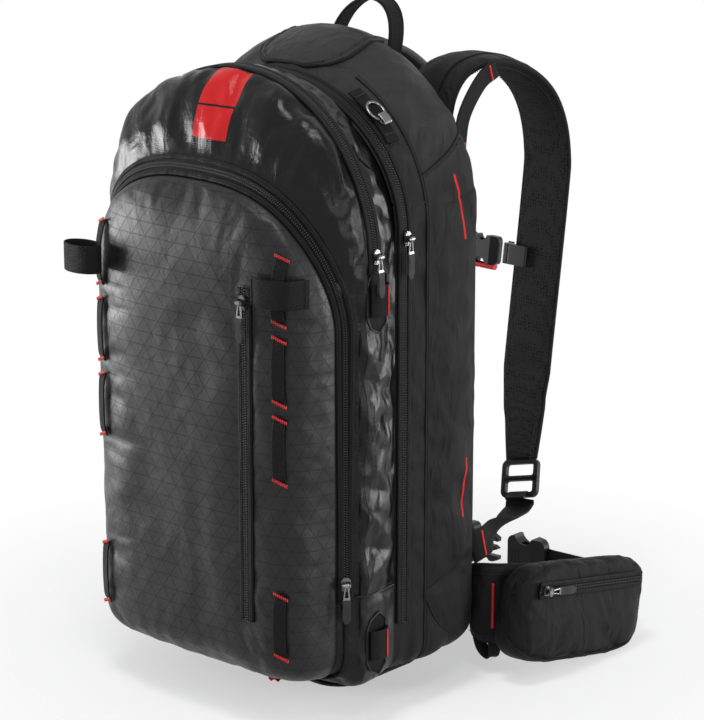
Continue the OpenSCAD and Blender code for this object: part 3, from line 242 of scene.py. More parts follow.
# How far in from the zip, how far down from the top and how far forward each pocket ring lies
POCKET_STEPS = [(4, 1, 0), (5, 3, 0.22), (10, 9, 0.52), (22, 23, 0.78), (38, 45, 0.91), (52, 69, 1)]
POCKET_RINGS = [
    (POCKET_HALF - inward, POCKET_ZC, POCKET_TOP - down, BASE_Z + 8 + 0.45 * inward, 2.6,
     mix(POCKET_Y_SIDE + 0.3, FRONT_Y, forward), mix(POCKET_Y_TOP - 0.7, FRONT_Y, forward))
    for inward, down, forward in POCKET_STEPS
]
RING_COUNTS = (36, 62, 52)


def ring_y(ring, z):
    return mix(ring[5], ring[6], smooth(POCKET_ZC, ring[2], z))


def ring_points(ring, counts=RING_COUNTS):
    flat = whole_outline(half_outline(*ring[:5], counts))
    return at_depth(flat, ring_y(ring, flat[:, 1]))


def ring_arch(ring, z_end, step=3.0):
    """Part of a ring above z_end, from the right side over the top to the left side."""
    w, zc, top, _, squareness = ring[:5]
    half = np.concatenate([[[w, z_end]], arch_curve(w, zc, top, squareness, 120)])
    flat = np.concatenate([half, half[-2::-1] * [-1, 1]])
    path = at_depth(flat, ring_y(ring, flat[:, 1]))
    return resample(path, int(arc_length(path)[-1] / step))


# Share of the depth, change of half width, change of height and rise of the base at each main ring
MAIN_STEPS = np.array([(0, -3, -12, 0), (0.18, -1, -6, 0), (0.42, 0, 10, 0), (0.7, 0, DOME_RISE, 1),
                       (0.9, -2, 17, 3), (1, -6, 6, 6)], float)


def main_step(y):
    """The main ring at depth y, between the given ones."""
    share = (y - Y_MAIN) / MAIN_D
    return np.array([np.interp(share, MAIN_STEPS[:, 0], MAIN_STEPS[:, k]) for k in range(4)])


def main_size(step):
    """Half width and top of a main ring."""
    return HALF_W + step[1], ARCH_Z + HALF_W + step[2]


def floor_z(x):
    """Height of the seam between the sides and the airbag chamber."""
    return FLOOR_SIDE + FLOOR_RISE * (1 - (x / HALF_W) ** 2)


def tip_angle(w, top):
    """Angle on the main arch at which it meets the chamber's floor."""
    a = 0.25
    for _ in range(8):
        a = math.asin((floor_z(w * math.cos(a)) - MAIN_ZC) / (top - MAIN_ZC))
    return a


def main_arch(step, angles, lift=0.0):
    """Points of the main arch at the given angles, at the depth of that step."""
    w, top = (size + lift for size in main_size(step))
    flat = np.stack([w * np.cos(angles), MAIN_ZC + (top - MAIN_ZC) * np.sin(angles)], axis=1)
    return at_depth(flat, Y_MAIN + MAIN_D * step[0])


def dome_z(x, y):
    """Height of the airbag cover above x, y."""
    w, top = main_size(main_step(y))
    return MAIN_ZC + (top - MAIN_ZC) * math.sqrt(1 - (x / w) ** 2)


def main_side(step, counts=(36, 62, 12)):
    """Open ring round the sides and the base, from the chamber's floor on the right to that on the left."""
    w, top = main_size(step)
    shoulder = main_arch(step, np.linspace(0, tip_angle(w, top), 20))[:, [0, 2]]
    half = half_ring(w, BASE_Z + step[3], MAIN_ZC, shoulder, counts)
    flat = np.concatenate([half[::-1], half[1:] * [-1, 1]])
    return at_depth(flat, Y_MAIN + MAIN_D * step[0])


def main_top(step, count=80):
    """Open ring over the airbag chamber, from its floor on the right to that on the left."""
    tip = tip_angle(*main_size(step))
    return resample(main_arch(step, np.linspace(tip, math.pi - tip, 200)), count)


def pocket_y(x, z):
    """Y of the front pocket's CAD surface above x, z."""
    def share(ring):
        w, zc, top, base, squareness = ring[:5]
        n = squareness if z > zc else CORNER_POWER
        v = (z - zc) / (top - zc) if z > zc else max(0, base + CORNER - z) / CORNER
        return (abs(x / w) ** n + v ** n) ** (1 / n)

    shares = [share(ring) for ring in POCKET_RINGS]
    ys = [float(ring_y(ring, z)) for ring in POCKET_RINGS]
    return float(np.interp(1.0, shares, ys))


# Meshes

def add_object(name, data):
    """New object in the scene."""
    obj = bpy.data.objects.new(name, data)
    bpy.context.scene.collection.objects.link(obj)
    return obj


def mesh_object(name, points, faces, material, uv=None):
    """New object from points in pack millimetres. uv gives each point's place on the cloth in metres."""
    mesh = bpy.data.meshes.new(name)
    mesh.from_pydata(place(points).tolist(), [], faces)
    if uv is not None:
        layer = mesh.uv_layers.new(name="cloth")
        index = np.empty(len(mesh.loops), int)
        mesh.loops.foreach_get("vertex_index", index)
        layer.data.foreach_set("uv", np.asarray(uv, np.float32)[index].ravel())
    mesh.materials.append(material)
    mesh.validate()
    mesh.polygons.foreach_set("use_smooth", [True] * len(mesh.polygons))
    return add_object(name, mesh)


def grid_faces(rows, cols, closed=False):
    """Quads of a grid of points, row by row. A closed grid joins its last column to its first."""
    across = cols if closed else cols - 1
    faces = []
    for i in range(rows - 1):
        for j in range(across):
            k = (j + 1) % cols
            faces.append((i * cols + j, i * cols + k, (i + 1) * cols + k, (i + 1) * cols + j))
    return faces


def end_caps(rows, cols):
    """Faces over the first and the last row of a closed grid."""
    return [tuple(range(cols - 1, -1, -1)), tuple(range((rows - 1) * cols, rows * cols))]


def grid_object(name, grid, material, uv, closed=True, caps=False):
    """Surface over rows of points. uv is a pair of axes, or each point's place on the cloth in metres."""
    rows, cols = grid.shape[:2]
    points = grid.reshape(-1, 3)
    faces = grid_faces(rows, cols, closed)
    if caps:
        faces += end_caps(rows, cols)
    if len(uv) == 2:
        uv = points[:, uv] * MM
    return mesh_object(name, points, faces, material, uv)


def grid_uv(grid):
    """Distance along the middle row and the middle column of a grid of points, in metres."""
    rows, cols = grid.shape[:2]
    u = arc_length(grid[rows // 2])
    v = arc_length(grid[:, cols // 4])
    return np.stack(np.meshgrid(u, v), axis=-1).reshape(-1, 2) * MM


def loft(rings, step):
    """Rows about step apart on a smooth surface through matching rings."""
    rings = np.asarray(rings, float)
    gaps = np.linalg.norm(np.diff(rings, axis=0), axis=2).mean(axis=1)
    at = np.concatenate([[0], np.cumsum(gaps)])
    slopes = np.gradient(rings, at, axis=0)
    rows = []
    for s in np.linspace(0, at[-1], max(3, int(round(at[-1] / step)) + 1)):
        k = min(int(np.searchsorted(at, s, side="right")) - 1, len(gaps) - 1)
        t = (s - at[k]) / gaps[k]
        rows.append((1 + 2 * t) * (1 - t) ** 2 * rings[k] + t * (1 - t) ** 2 * gaps[k] * slopes[k]
                    + t * t * (3 - 2 * t) * rings[k + 1] + t * t * (t - 1) * gaps[k] * slopes[k + 1])
    return np.array(rows)


def normals_of(obj):
    values = np.empty(len(obj.data.vertices) * 3, np.float32)
    obj.data.vertices.foreach_get("normal", values)
    return values.reshape(-1, 3).astype(float)


def coordinates(obj):
    values = np.empty(len(obj.data.vertices) * 3, np.float32)
    obj.data.vertices.foreach_get("co", values)
    return values.reshape(-1, 3).astype(float)


def set_coordinates(obj, points):
    obj.data.vertices.foreach_set("co", np.asarray(points, np.float32).ravel())
    obj.data.update()


def puff(obj, amount):
    """Moves each point along its normal by an amount in millimetres."""
    set_coordinates(obj, coordinates(obj) + normals_of(obj) * (np.asarray(amount) * MM)[:, None])


def face_outwards(obj, inside):
    """Turns the faces so that they look away from a point in pack millimetres."""
    away = coordinates(obj) - place(inside)
    if (normals_of(obj) * away).sum() < 0:
        obj.data.flip_normals()
        obj.data.update()


def settle(obj, held, growth, pressure, out=5.0, sink=2.0, frames=20):
    """Cloth between held seams: it grows a little and is pushed out, by out and sink millimetres at most."""
    group = obj.vertex_groups.new(name="seam")
    group.add(np.flatnonzero(held).tolist(), 1.0, "REPLACE")
    cloth = obj.modifiers.new("cloth", "CLOTH")
    settings = cloth.settings
    settings.quality = 6
    settings.mass = 0.004
    settings.tension_stiffness = 20
    settings.compression_stiffness = 20
    settings.shear_stiffness = 6
    settings.bending_stiffness = 0.05
    settings.air_damping = 4
    settings.shrink_min = -growth
    settings.shrink_max = -growth
    settings.use_pressure = True
    settings.uniform_pressure_force = pressure
    settings.vertex_group_mass = "seam"
    settings.effector_weights.gravity = 0
    cloth.collision_settings.use_collision = False
    cloth.point_cache.frame_end = frames
    scene = bpy.context.scene
    for number in range(1, frames + 1):
        scene.frame_set(number)
    graph = bpy.context.evaluated_depsgraph_get()
    moved = np.empty(len(obj.data.vertices) * 3, np.float32)
    obj.evaluated_get(graph).data.vertices.foreach_get("co", moved)
    rest = coordinates(obj)
    normal = normals_of(obj)
    shift = moved.reshape(-1, 3) - rest
    rise = (shift * normal).sum(axis=1)
    slide = shift - normal * rise[:, None]
    limit = np.minimum(1, 3 * MM / np.maximum(np.linalg.norm(slide, axis=1), 1e-9))
    calm = np.where(rise > 0, out * np.tanh(rise / (out * MM)), sink * np.tanh(rise / (sink * MM))) * MM
    obj.modifiers.remove(cloth)
    obj.vertex_groups.remove(group)
    set_coordinates(obj, rest + normal * calm[:, None] + slide * limit[:, None])
    scene.frame_set(1)


def subdivide(obj, levels=1):
    modifier = obj.modifiers.new("smooth", "SUBSURF")
    modifier.levels = levels
    modifier.render_levels = levels


def sweep(name, path, across, profile, material, scale=None, caps=True, lining=None):
    """Solid along a path. across is the direction of the profile's first axis at each point of the path.

    A lining is the material of the side that the profile's second axis points to.
    """
    path = np.asarray(path, float)
    a, n = along_frame(path, across)
    wide = np.ones(len(path)) if scale is None else np.asarray(scale, float)
    grid = (path[:, None] + a[:, None] * profile[None, :, :1] * wide[:, None, None]
            + n[:, None] * profile[None, :, 1:])
    u = np.broadcast_to(profile[None, :, 0], grid.shape[:2])
    v = np.broadcast_to(arc_length(path)[:, None], grid.shape[:2])
    uv = np.stack([u, v], axis=-1).reshape(-1, 2) * MM
    obj = grid_object(name, grid, material, uv, caps=caps)
    if lining is not None:
        count = len(profile)
        obj.data.materials.append(lining)
        lined = profile[:, 1] + np.roll(profile[:, 1], -1) > 0
        for k, polygon in enumerate(obj.data.polygons[:(len(path) - 1) * count]):
            polygon.material_index = int(lined[k % count])
    return obj


def strap_profile(width, thick, edge=0.6):
    """Cross section of webbing with rounded edges."""
    w, h = width / 2, thick / 2
    xs = np.linspace(-(w - edge), w - edge, 9)
    low = [(x, -h) for x in xs]
    right = [(w - 0.2 * edge, -h * 0.6), (w, 0), (w - 0.2 * edge, h * 0.6)]
    half = np.array(low + right)
    return np.concatenate([half, -half])


def band(name, path, way, width, thick):
    """Black webbing along a path, with its width along the given direction."""
    return sweep(name, path, way, strap_profile(width, thick), webbing)


def round_profile(rx, ry, count=10, power=2.0):
    """Oval cross section, squarer with a higher power."""
    a = np.linspace(0, 2 * math.pi, count, endpoint=False)
    c, s = np.cos(a), np.sin(a)
    return np.stack([rx * np.sign(c) * np.abs(c) ** (2 / power),
                     ry * np.sign(s) * np.abs(s) ** (2 / power)], axis=1)


def join(name, objs):
    """One object from several."""
    bpy.ops.object.select_all(action="DESELECT")
    for obj in objs:
        obj.select_set(True)
    bpy.context.view_layer.objects.active = objs[0]
    bpy.ops.object.join()
    objs[0].name = name
    return objs[0]


def scatter(name, shape, faces, centres, along, across, normal, material):
    """Copies of one small shape, each turned to its own directions."""
    shape = np.asarray(shape, float)
    frames = np.stack([along, across, normal], axis=1)
    points = np.asarray(centres)[:, None] + np.einsum("pk,nkd->npd", shape, frames)
    count = len(shape)
    all_faces = [tuple(i * count + f for f in face) for i in range(len(points)) for face in faces]
    return mesh_object(name, points.reshape(-1, 3), all_faces, material)


def lozenge(length, width, height):
    """Small rounded bar, longer along its first axis, as points and faces."""
    rings = [(-0.5, 0.35), (-0.36, 0.9), (0, 1.0), (0.36, 0.9), (0.5, 0.35)]
    section = [(-0.5, 0), (-0.32, 0.75), (0.32, 0.75), (0.5, 0), (0.32, -0.5), (-0.32, -0.5)]
    points = [(length * x, width * y * s, height * z * s) for x, s in rings for y, z in section]
    size = len(rings), len(section)
    return points, grid_faces(*size, closed=True) + end_caps(*size)


# Pitch and thickness of the thread in fine seams
FINE_STITCH = (3.0, 0.6)
TACK_PITCH = 0.9
TACK_THREAD = (0.85, 0.9)
TACK_LEAN = 0.25


def stitches(name, path, normal, material, pitch=3.4, thread=0.55):
    """Row of stitches along a path, lying on a surface with the given normals."""
    path = np.asarray(path, float)
    count = max(2, int(arc_length(path)[-1] / pitch))
    even = resample(path, count)
    normal = np.asarray(normal, float)
    n, side = along_frame(even, resample(normal, count) if normal.ndim == 2 else normal)
    shape, faces = lozenge(pitch * 0.72, thread, thread)
    return scatter(name, shape, faces, even, tangents(even), -side, n, material)


def bar_tack(name, middle, along, normal, material, length=15.0, width=2.6):
    """Dense zigzag of thread that holds webbing down."""
    along = unit(along)
    normal = unit(normal)
    side = np.cross(normal, along)
    count = int(length / TACK_PITCH)
    spots = np.linspace(-length / 2, length / 2, count)
    lean = unit(side + along * TACK_LEAN * np.where(np.arange(count) % 2, 1, -1)[:, None])
    centres = np.asarray(middle) + along * spots[:, None]
    shape, faces = lozenge(width, *TACK_THREAD)
    n = np.broadcast_to(normal, lean.shape)
    return scatter(name, shape, faces, centres, lean, np.cross(n, lean), n, material)


# Looks

class Look:
    """One procedural material. Numbers that are the same all over go straight on the shader's sockets."""

    def __init__(self, name, colour, roughness, **sockets):
        self.material = bpy.data.materials.new(name)
        self.material.use_nodes = True
        self.nodes = self.material.node_tree.nodes
        self.links = self.material.node_tree.links
        self.shader = self.nodes["Principled BSDF"]
        self.set("Base Color", (*colour, 1))
        self.set("Roughness", roughness)
        for key, value in sockets.items():
            self.set(key.replace("_", " "), value)
        self.normal = None

    def put(self, socket, value):
        if isinstance(value, bpy.types.NodeSocket):
            self.links.new(value, socket)
        else:
            socket.default_value = value

    def set(self, socket, value):
        self.put(self.shader.inputs[socket], value)

    def math(self, operation, a, b=0.0, clamp=False):
        node = self.nodes.new("ShaderNodeMath")
        node.operation = operation
        node.use_clamp = clamp
        self.put(node.inputs[0], a)
        self.put(node.inputs[1], b)
        return node.outputs[0]

    def times(self, a, b):
        return self.math("MULTIPLY", a, b)

    def plus(self, a, b):
        return self.math("ADD", a, b)

    def minus(self, a, b, clamp=False):
        return self.math("SUBTRACT", a, b, clamp)

    def over(self, a, b, clamp=False):
        return self.math("DIVIDE", a, b, clamp)

    def most(self, a, b):
        return self.math("MAXIMUM", a, b)

    def cloth(self):
        """Place on the cloth in metres, along and across."""
        node = self.nodes.new("ShaderNodeUVMap")
        node.uv_map = "cloth"
        split = self.nodes.new("ShaderNodeSeparateXYZ")
        self.links.new(node.outputs[0], split.inputs[0])
        return split.outputs[0], split.outputs[1]

    def space(self):
        """Place in the model's frame in metres."""
        node = self.nodes.new("ShaderNodeTexCoord")
        split = self.nodes.new("ShaderNodeSeparateXYZ")
        self.links.new(node.outputs["Object"], split.inputs[0])
        return split.outputs[0], split.outputs[1], split.outputs[2]

    def noise(self, size, detail=2.0, stretch=(1, 1, 1), distortion=0.0):
        """Noise from 0 to 1 with features of about the given size in millimetres, longer where stretched."""
        coordinate = self.nodes.new("ShaderNodeTexCoord")
        mapping = self.nodes.new("ShaderNodeMapping")
        mapping.inputs["Scale"].default_value = [1 / (size * MM * s) for s in stretch]
        self.links.new(coordinate.outputs["Object"], mapping.inputs[0])
        node = self.nodes.new("ShaderNodeTexNoise")
        node.inputs["Scale"].default_value = 1.0
        node.inputs["Detail"].default_value = detail
        node.inputs["Distortion"].default_value = distortion
        self.links.new(mapping.outputs[0], node.inputs["Vector"])
        return node.outputs["Fac"]

    def cells(self, size):
        """Distance from the middle of small round cells of the given size in millimetres."""
        coordinate = self.nodes.new("ShaderNodeTexCoord")
        node = self.nodes.new("ShaderNodeTexVoronoi")
        node.inputs["Scale"].default_value = 1 / (size * MM)
        node.inputs["Randomness"].default_value = 0.35
        self.links.new(coordinate.outputs["Object"], node.inputs["Vector"])
        return node.outputs["Distance"]

    def wave(self, coordinate, pitch):
        """Sine of a coordinate in metres, with the given pitch in millimetres."""
        return self.math("SINE", self.times(coordinate, 2 * math.pi / (pitch * MM)))

    def line(self, coordinate, spacing, width):
        """1 on evenly spaced lines of the given width and 0 between them, in millimetres."""
        at = self.math("PINGPONG", self.over(coordinate, spacing * MM), 0.5)
        return self.minus(1.0, self.over(at, width / spacing), clamp=True)

    def between(self, coordinate, low, high, edge=0.4):
        """1 between two places given in metres, with soft edges in millimetres."""
        rise = self.over(self.minus(coordinate, low), edge * MM, clamp=True)
        fall = self.over(self.minus(high, coordinate), edge * MM, clamp=True)
        return self.times(rise, fall)

    def scaled(self, factor, low, high):
        """A value from 0 to 1 spread between low and high."""
        return self.plus(self.times(factor, high - low), low)

    def blend(self, factor, a, b):
        """Colour a where the factor is 0 and colour b where it is 1."""
        node = self.nodes.new("ShaderNodeMix")
        node.data_type = "RGBA"
        self.put(node.inputs["Factor"], factor)
        self.put(node.inputs["A"], a if isinstance(a, bpy.types.NodeSocket) else (*a, 1))
        self.put(node.inputs["B"], b if isinstance(b, bpy.types.NodeSocket) else (*b, 1))
        return node.outputs["Result"]

    def shades(self, factor, colour, dark, light):
        """A colour between a darker and a lighter shade of itself."""
        return self.blend(factor, [c * dark for c in colour], [min(1, c * light) for c in colour])

    def bump(self, relief, depth, strength=1.0):
        """Adds relief from 0 to 1, which stands for a depth in millimetres."""
        node = self.nodes.new("ShaderNodeBump")
        node.inputs["Strength"].default_value = strength
        node.inputs["Distance"].default_value = depth * MM
        self.links.new(relief, node.inputs["Height"])
        if self.normal is not None:
            self.links.new(self.normal, node.inputs["Normal"])
        self.normal = node.outputs[0]
        self.set("Normal", self.normal)

    def weave(self, u, v, pitch, depth):
        """Plain weave relief of the given thread pitch and depth in millimetres."""
        self.bump(self.times(self.wave(u, pitch), self.wave(v, pitch)), depth)


RED = (0.56, 0.012, 0.014)
# Ends of the printed lines on the side, Y and Z, and the blocks of the stripe on the front, from Z to Z
RED_LINES = (((85, 466), (93, 406)), ((99, 199), (94, 142)))
RED_LINE_W = 3.2
STRIPE_HALF = 20.5
STRIPE_BLOCKS = ((531, 575), (502, 529.6))


def black(value):
    """Near-black that is a little cool."""
    return (value, value, value + 0.0005)


def side_look(name, colour, lined):
    """Matte woven nylon with soft creases. If lined, it has two thin red lines and a painted sheen at the
    top: lighter colour there for light falling on it, and more specular.
    """
    look = Look(name, colour, 0.55, Specular_IOR_Level=0.09)
    u, v = look.cloth()
    worn = look.noise(60, 3)
    shade = look.shades(worn, colour, 0.75, 1.35)
    look.bump(look.noise(25, 3, (1, 1, 2.6), 0.8), 7.0, 0.8)
    look.weave(u, v, 0.9, 0.06)
    look.set("Roughness", look.scaled(worn, 0.45, 0.6))
    if lined:
        _, y, z = look.space()
        # Painted highlight: the top of the bag is lighter in colour, for light falling on it; its specular
        # rises there too
        top = look.between(z, frame_z(ARCH_Z + 50), FAR, 80)
        shade = look.blend(top, shade, look.shades(worn, colour, 1.2, 2.2))
        look.set("Specular IOR Level", look.scaled(top, 0.09, 0.22))
        upper, lower = (red_line(look, y, z, *ends) for ends in RED_LINES)
        shade = look.blend(look.most(upper, lower), shade, RED)
    look.set("Base Color", shade)
    return look.material


def red_line(look, y, z, start, end):
    """1 along a straight printed line between two places, Y and Z in pack millimetres."""
    (y0, z0), (y1, z1) = start, end
    slope = (y1 - y0) / (z1 - z0)
    middle = look.plus(look.times(look.minus(z, frame_z(z0)), slope), frame_y(y0))
    half = RED_LINE_W / 2 * MM
    beside = look.between(look.minus(y, middle), -half, half)
    return look.times(beside, look.between(z, frame_z(z1), frame_z(z0)))


def gloss_look():
    """Coated tarpaulin with streaks and creases, a red stripe on its front and a duller foot."""
    look = Look("gloss_tarpaulin", black(0.006), 0.25, Specular_IOR_Level=0.18)
    u, v = look.cloth()
    x, y, z = look.space()
    foot = look.between(z, -FAR, frame_z(FOOT_SEAM_Z), 3)
    streak = look.noise(5, 3, (9, 3, 1), 0.3)
    front = look.between(y, -FAR, frame_y(-RIDGE_D - 9))
    slack = look.times(look.noise(48, 1, (1, 1, 1.5), 1.6), look.scaled(front, 1.0, 0.0))
    look.bump(slack, 9.0, 0.8)
    look.bump(look.noise(30, 4, (1, 1, 1.6), 1.4), 2.6, 0.6)
    look.bump(streak, 0.35, 0.5)
    look.weave(u, v, 1.1, 0.03)
    rough = look.plus(look.scaled(streak, 0.1, 0.24), look.times(foot, 0.22))
    look.set("Roughness", rough)
    look.set("Specular IOR Level", look.scaled(front, 0.27, 0.18))
    middle = look.between(x, -STRIPE_HALF * MM, STRIPE_HALF * MM)
    upper, lower = (look.between(z, frame_z(low), frame_z(high)) for low, high in STRIPE_BLOCKS)
    stripe = look.times(look.times(middle, front), look.most(upper, lower))
    shade = look.blend(streak, (0.003, 0.003, 0.0033), black(0.007))
    look.set("Base Color", look.blend(stripe, shade, RED))
    return look.material


def grid_look():
    """Semi-gloss laminate with a net of threads: level rows and two slanting sets that make triangles."""
    look = Look("grid_laminate", black(0.008), 0.4)
    u, v = look.cloth()
    row = 12.5
    steep = 1.35
    thread = 0.75
    slant = look.times(u, steep)
    rows = look.line(v, row, thread)
    left = look.line(look.plus(v, slant), 2 * row, thread * math.hypot(1, steep))
    right = look.line(look.minus(v, slant), 2 * row, thread * math.hypot(1, steep))
    threads = look.most(rows, look.most(left, right))
    cloud = look.noise(70, 3)
    look.bump(look.noise(38, 3, (1, 1, 1.5), 0.8), 3.0, 0.35)
    look.bump(threads, 0.06, 0.8)
    look.weave(u, v, 1.2, 0.03)
    ground = look.blend(cloud, black(0.005), black(0.009))
    look.set("Base Color", look.blend(threads, ground, black(0.019)))
    look.set("Roughness", look.scaled(cloud, 0.32, 0.46))
    look.set("Specular IOR Level", look.scaled(threads, 0.3, 0.08))
    return look.material


def webbing_look(name, colour, pitch=1.7):
    """Ribbed webbing: weft ribs across it and warp ends along it, with painted shade in the grooves between
    ribs and a painted highlight on their crests.
    """
    look = Look(name, colour, 0.62, Specular_IOR_Level=0.12)
    u, v = look.cloth()
    ends = look.wave(u, pitch)
    shifted = look.plus(v, look.times(ends, 0.25 * pitch * MM))
    ribs = look.wave(shifted, pitch)
    look.bump(ribs, 0.22)
    look.bump(ends, 0.1)
    # Painted shade and highlight: the colour follows the ribs' relief, darker in the grooves and lighter on
    # the crests
    light = look.scaled(ribs, 0.35, 0.65)
    look.set("Base Color", look.shades(light, colour, 0.55, 1.6))
    look.set("Roughness", look.scaled(look.noise(9, 2), 0.5, 0.72))
    return look.material


def mesh_look():
    """Spacer mesh with small round holes, painted near-black inside as the shade in them."""
    look = Look("spacer_mesh", black(0.008), 0.85, Specular_IOR_Level=0.08)
    hole = look.cells(3.2)
    open_part = look.minus(1.0, look.times(hole, 2.2), clamp=True)
    look.bump(look.noise(22, 2), 1.2, 0.4)
    look.bump(look.times(open_part, -1.0), 0.7)
    # Painted shade: the holes are near-black, for the shade inside them; the mesh between them is dark grey
    look.set("Base Color", look.blend(open_part, (0.024, 0.024, 0.025), (0.002, 0.002, 0.002)))
    look.set("Roughness", look.scaled(look.noise(4, 1), 0.75, 0.95))
    return look.material


def grain_look(name, colour, roughness, grain=1.2, depth=0.06, **sockets):
    """Moulded or cast surface with fine grain and a little wear."""
    look = Look(name, colour, roughness, **sockets)
    worn = look.noise(14, 4)
    look.bump(look.noise(grain, 2), depth)
    look.set("Base Color", look.shades(worn, colour, 0.78, 1.3))
    look.set("Roughness", look.scaled(worn, roughness - 0.07, roughness + 0.08))
    return look.material


def pull_look(pin, toward, reach):
    """Zip pull: plated wire near its pin, then a rubber tab, parted at reach millimetres from the pin."""
    look = Look("zip_pull", (0.1, 0.1, 0.1), 0.5)
    parts = [look.times(look.minus(c, float(s)), float(t))
             for c, s, t in zip(look.space(), place(pin), toward)]
    along = look.plus(look.plus(parts[0], parts[1]), parts[2])
    on_tab = look.between(along, reach * MM, FAR)
    worn = look.noise(3, 3)
    wire = look.blend(worn, (0.14, 0.14, 0.145), (0.26, 0.26, 0.265))
    tab = look.blend(worn, (0.028, 0.028, 0.03), (0.05, 0.05, 0.052))
    look.bump(look.noise(0.8, 2), 0.05)
    look.set("Base Color", look.blend(on_tab, wire, tab))
    look.set("Metallic", look.minus(1.0, on_tab))
    look.set("Roughness", look.scaled(on_tab, 0.25, 0.62))
    look.set("Specular IOR Level", look.scaled(on_tab, 0.5, 0.12))
    return look.material


def buckle_look():
    """Black sternum buckle with the red whistle under it."""
    look = Look("buckle_and_whistle", black(0.008), 0.4, Specular_IOR_Level=0.25)
    _, _, z = look.space()
    whistle = look.between(z, -FAR, WHISTLE_Z, 0.3)
    look.bump(look.noise(1.2, 2), 0.05)
    look.set("Base Color", look.blend(whistle, black(0.008), RED))
    look.set("Roughness", look.scaled(look.noise(14, 4), 0.34, 0.5))
    return look.material


cloth_side = side_look("side_nylon", black(0.007), True)
cloth_cover = side_look("cover_nylon", (0.0072, 0.007, 0.0072), True)
cloth_plain = side_look("plain_nylon", black(0.007), False)
cloth_hip = side_look("hip_nylon", black(0.008), False)
cloth_gloss = gloss_look()
cloth_grid = grid_look()
webbing = webbing_look("black_webbing", black(0.0065))
tape = webbing_look("zip_tape", black(0.005), 1.1)
mesh_cloth = mesh_look()
# Near-black sheet colour, painted as the shade inside the ski loops' windows
recess_shade = side_look("painted_recess_shade", (0.0015, 0.0015, 0.0016), False)
coil = grain_look("zip_coil", black(0.007), 0.4, 0.8, 0.03, Specular_IOR_Level=0.3)
thread_black = grain_look("black_thread", black(0.012), 0.6, 0.5, 0.03, Specular_IOR_Level=0.2)
thread_red = grain_look("red_thread", RED, 0.55, 0.5, 0.04)
plastic = grain_look("black_acetal", black(0.008), 0.42, Specular_IOR_Level=0.25)
plastic_red = grain_look("red_acetal", (0.60, 0.03, 0.025), 0.42)
sheet_plastic = grain_look("grey_sheet", (0.09, 0.09, 0.09), 0.5)
steel = grain_look("plated_steel", (0.15, 0.15, 0.155), 0.26, 0.9, 0.02, Metallic=1.0)
aluminium = grain_look("satin_aluminium", (0.55, 0.56, 0.58), 0.38, 0.9, 0.02, Metallic=1.0)
rubber = grain_look("black_rubber", (0.02, 0.02, 0.02), 0.7)
tab_red = webbing_look("red_webbing", (0.4, 0.012, 0.014))
airbag_nylon = side_look("airbag_nylon", (0.5, 0.06, 0.03), False)


# Bag

def dress(obj, body, slot, *nodes):
    """The piece moves with a body and stands for those CAD nodes, which it hides. The slot is not used."""
    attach(obj, body)
    if nodes:
        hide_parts(*nodes)
    return obj


def sew(name, parts, slot, *nodes, body="pack"):
    """The parts joined into one piece and dressed."""
    return dress(join(name, parts), body, slot, *nodes)


def dress_sewn(obj, body, start, end, slot, *nodes):
    """Bakes the cloth's place into its points and hides those CAD nodes. The body, start and end are not
    used.
    """
    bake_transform(obj)
    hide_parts(*nodes)
    return obj


def pack_points(obj):
    """Points of an object in pack millimetres."""
    return coordinates(obj) / MM + [0, Y_BACK, LUMBAR_Z]


def weld(obj, distance=0.6):
    """Joins points that lie within a distance of each other."""
    build = bmesh.new()
    build.from_mesh(obj.data)
    bmesh.ops.remove_doubles(build, verts=build.verts, dist=distance * MM)
    build.to_mesh(obj.data)
    build.free()
    obj.data.update()


def near(points, line, distance):
    """True for the points within a distance of a line."""
    line = np.asarray(line, float)
    return np.array([np.min(((line - p) ** 2).sum(axis=1)) < distance ** 2 for p in points])


def fold(obj, held, layers):
    """Uneven folds in slack cloth. A layer is its size, height, stretch along X, Y and Z, and sharpness."""
    for k, (scale, height, stretch, sharp) in enumerate(layers):
        wave = ripple(pack_points(obj) / np.asarray(stretch), scale, 3.1 + 1.7 * k)
        crest = 1 - 3.4 * np.abs(wave)
        puff(obj, np.where(held, 0, height * mix(wave, crest, sharp)))


FRONT_MIDDLE = (0, -40, 250)
MAIN_MIDDLE = (0, 60, 300)
POCKET_SPINE = (150, 325)
# Height of each ski loop as a share of ARCH_Z
SKI_SHARES = (0.918, 0.128)


def tool_shell():
    """Glossy arch of the tool compartment, held at its zips, its foot seam and its ski loops."""
    rings = [ring_points(ring) for ring in TOOL_RINGS]
    grid = loft([rings[0] + [0, 5, 0]] + rings, 4.5)
    rows, cols = grid.shape[:2]
    obj = grid_object("tool_shell", grid, cloth_gloss, grid_uv(grid))
    face_outwards(obj, FRONT_MIDDLE)
    points = pack_points(obj)
    y, z = points[:, 1], points[:, 2]
    row = np.repeat(np.arange(rows), cols)
    held = (row < 2) | (row > rows - 3) | (z < BASE_Z + 6)
    held |= near(points, ring_arch(ZIP_OUTER, 10), 6) | near(points, ring_arch(ZIP_INNER, 10), 9)
    held |= (np.abs(y + RIDGE_D) < ZIP_W / 2 + 3) & (z > ARCH_Z - 14)
    held |= (np.abs(z - FOOT_SEAM_Z) < 3) & (y > POCKET_Y_SIDE + 14)
    for share in SKI_SHARES:
        held |= (np.abs(z - share * ARCH_Z) < 33) & (np.abs(y + 20) < 18)
    fold(obj, held, [(52, 2.6, (1.3, 1, 1.5), 0.8), (22, 1.7, (1, 1.4, 1.3), 0.9)])
    settle(obj, held, 0.02, 6, out=5, sink=4)
    subdivide(obj)
    return dress(obj, "pack", "gloss_fabric", "tool_pocket")


SLASH_X = POCKET_HALF - 66
SLASH_Z0 = 78.0
SLASH_Z1 = ARCH_Z - 20
CHAIN_X = POCKET_HALF - 30
# Lower end of each webbing loop as a share of ARCH_Z
CHAIN_STARTS = (0.123, 0.528, 0.706, 0.884)
CHAIN_L = 0.143 * ARCH_Z


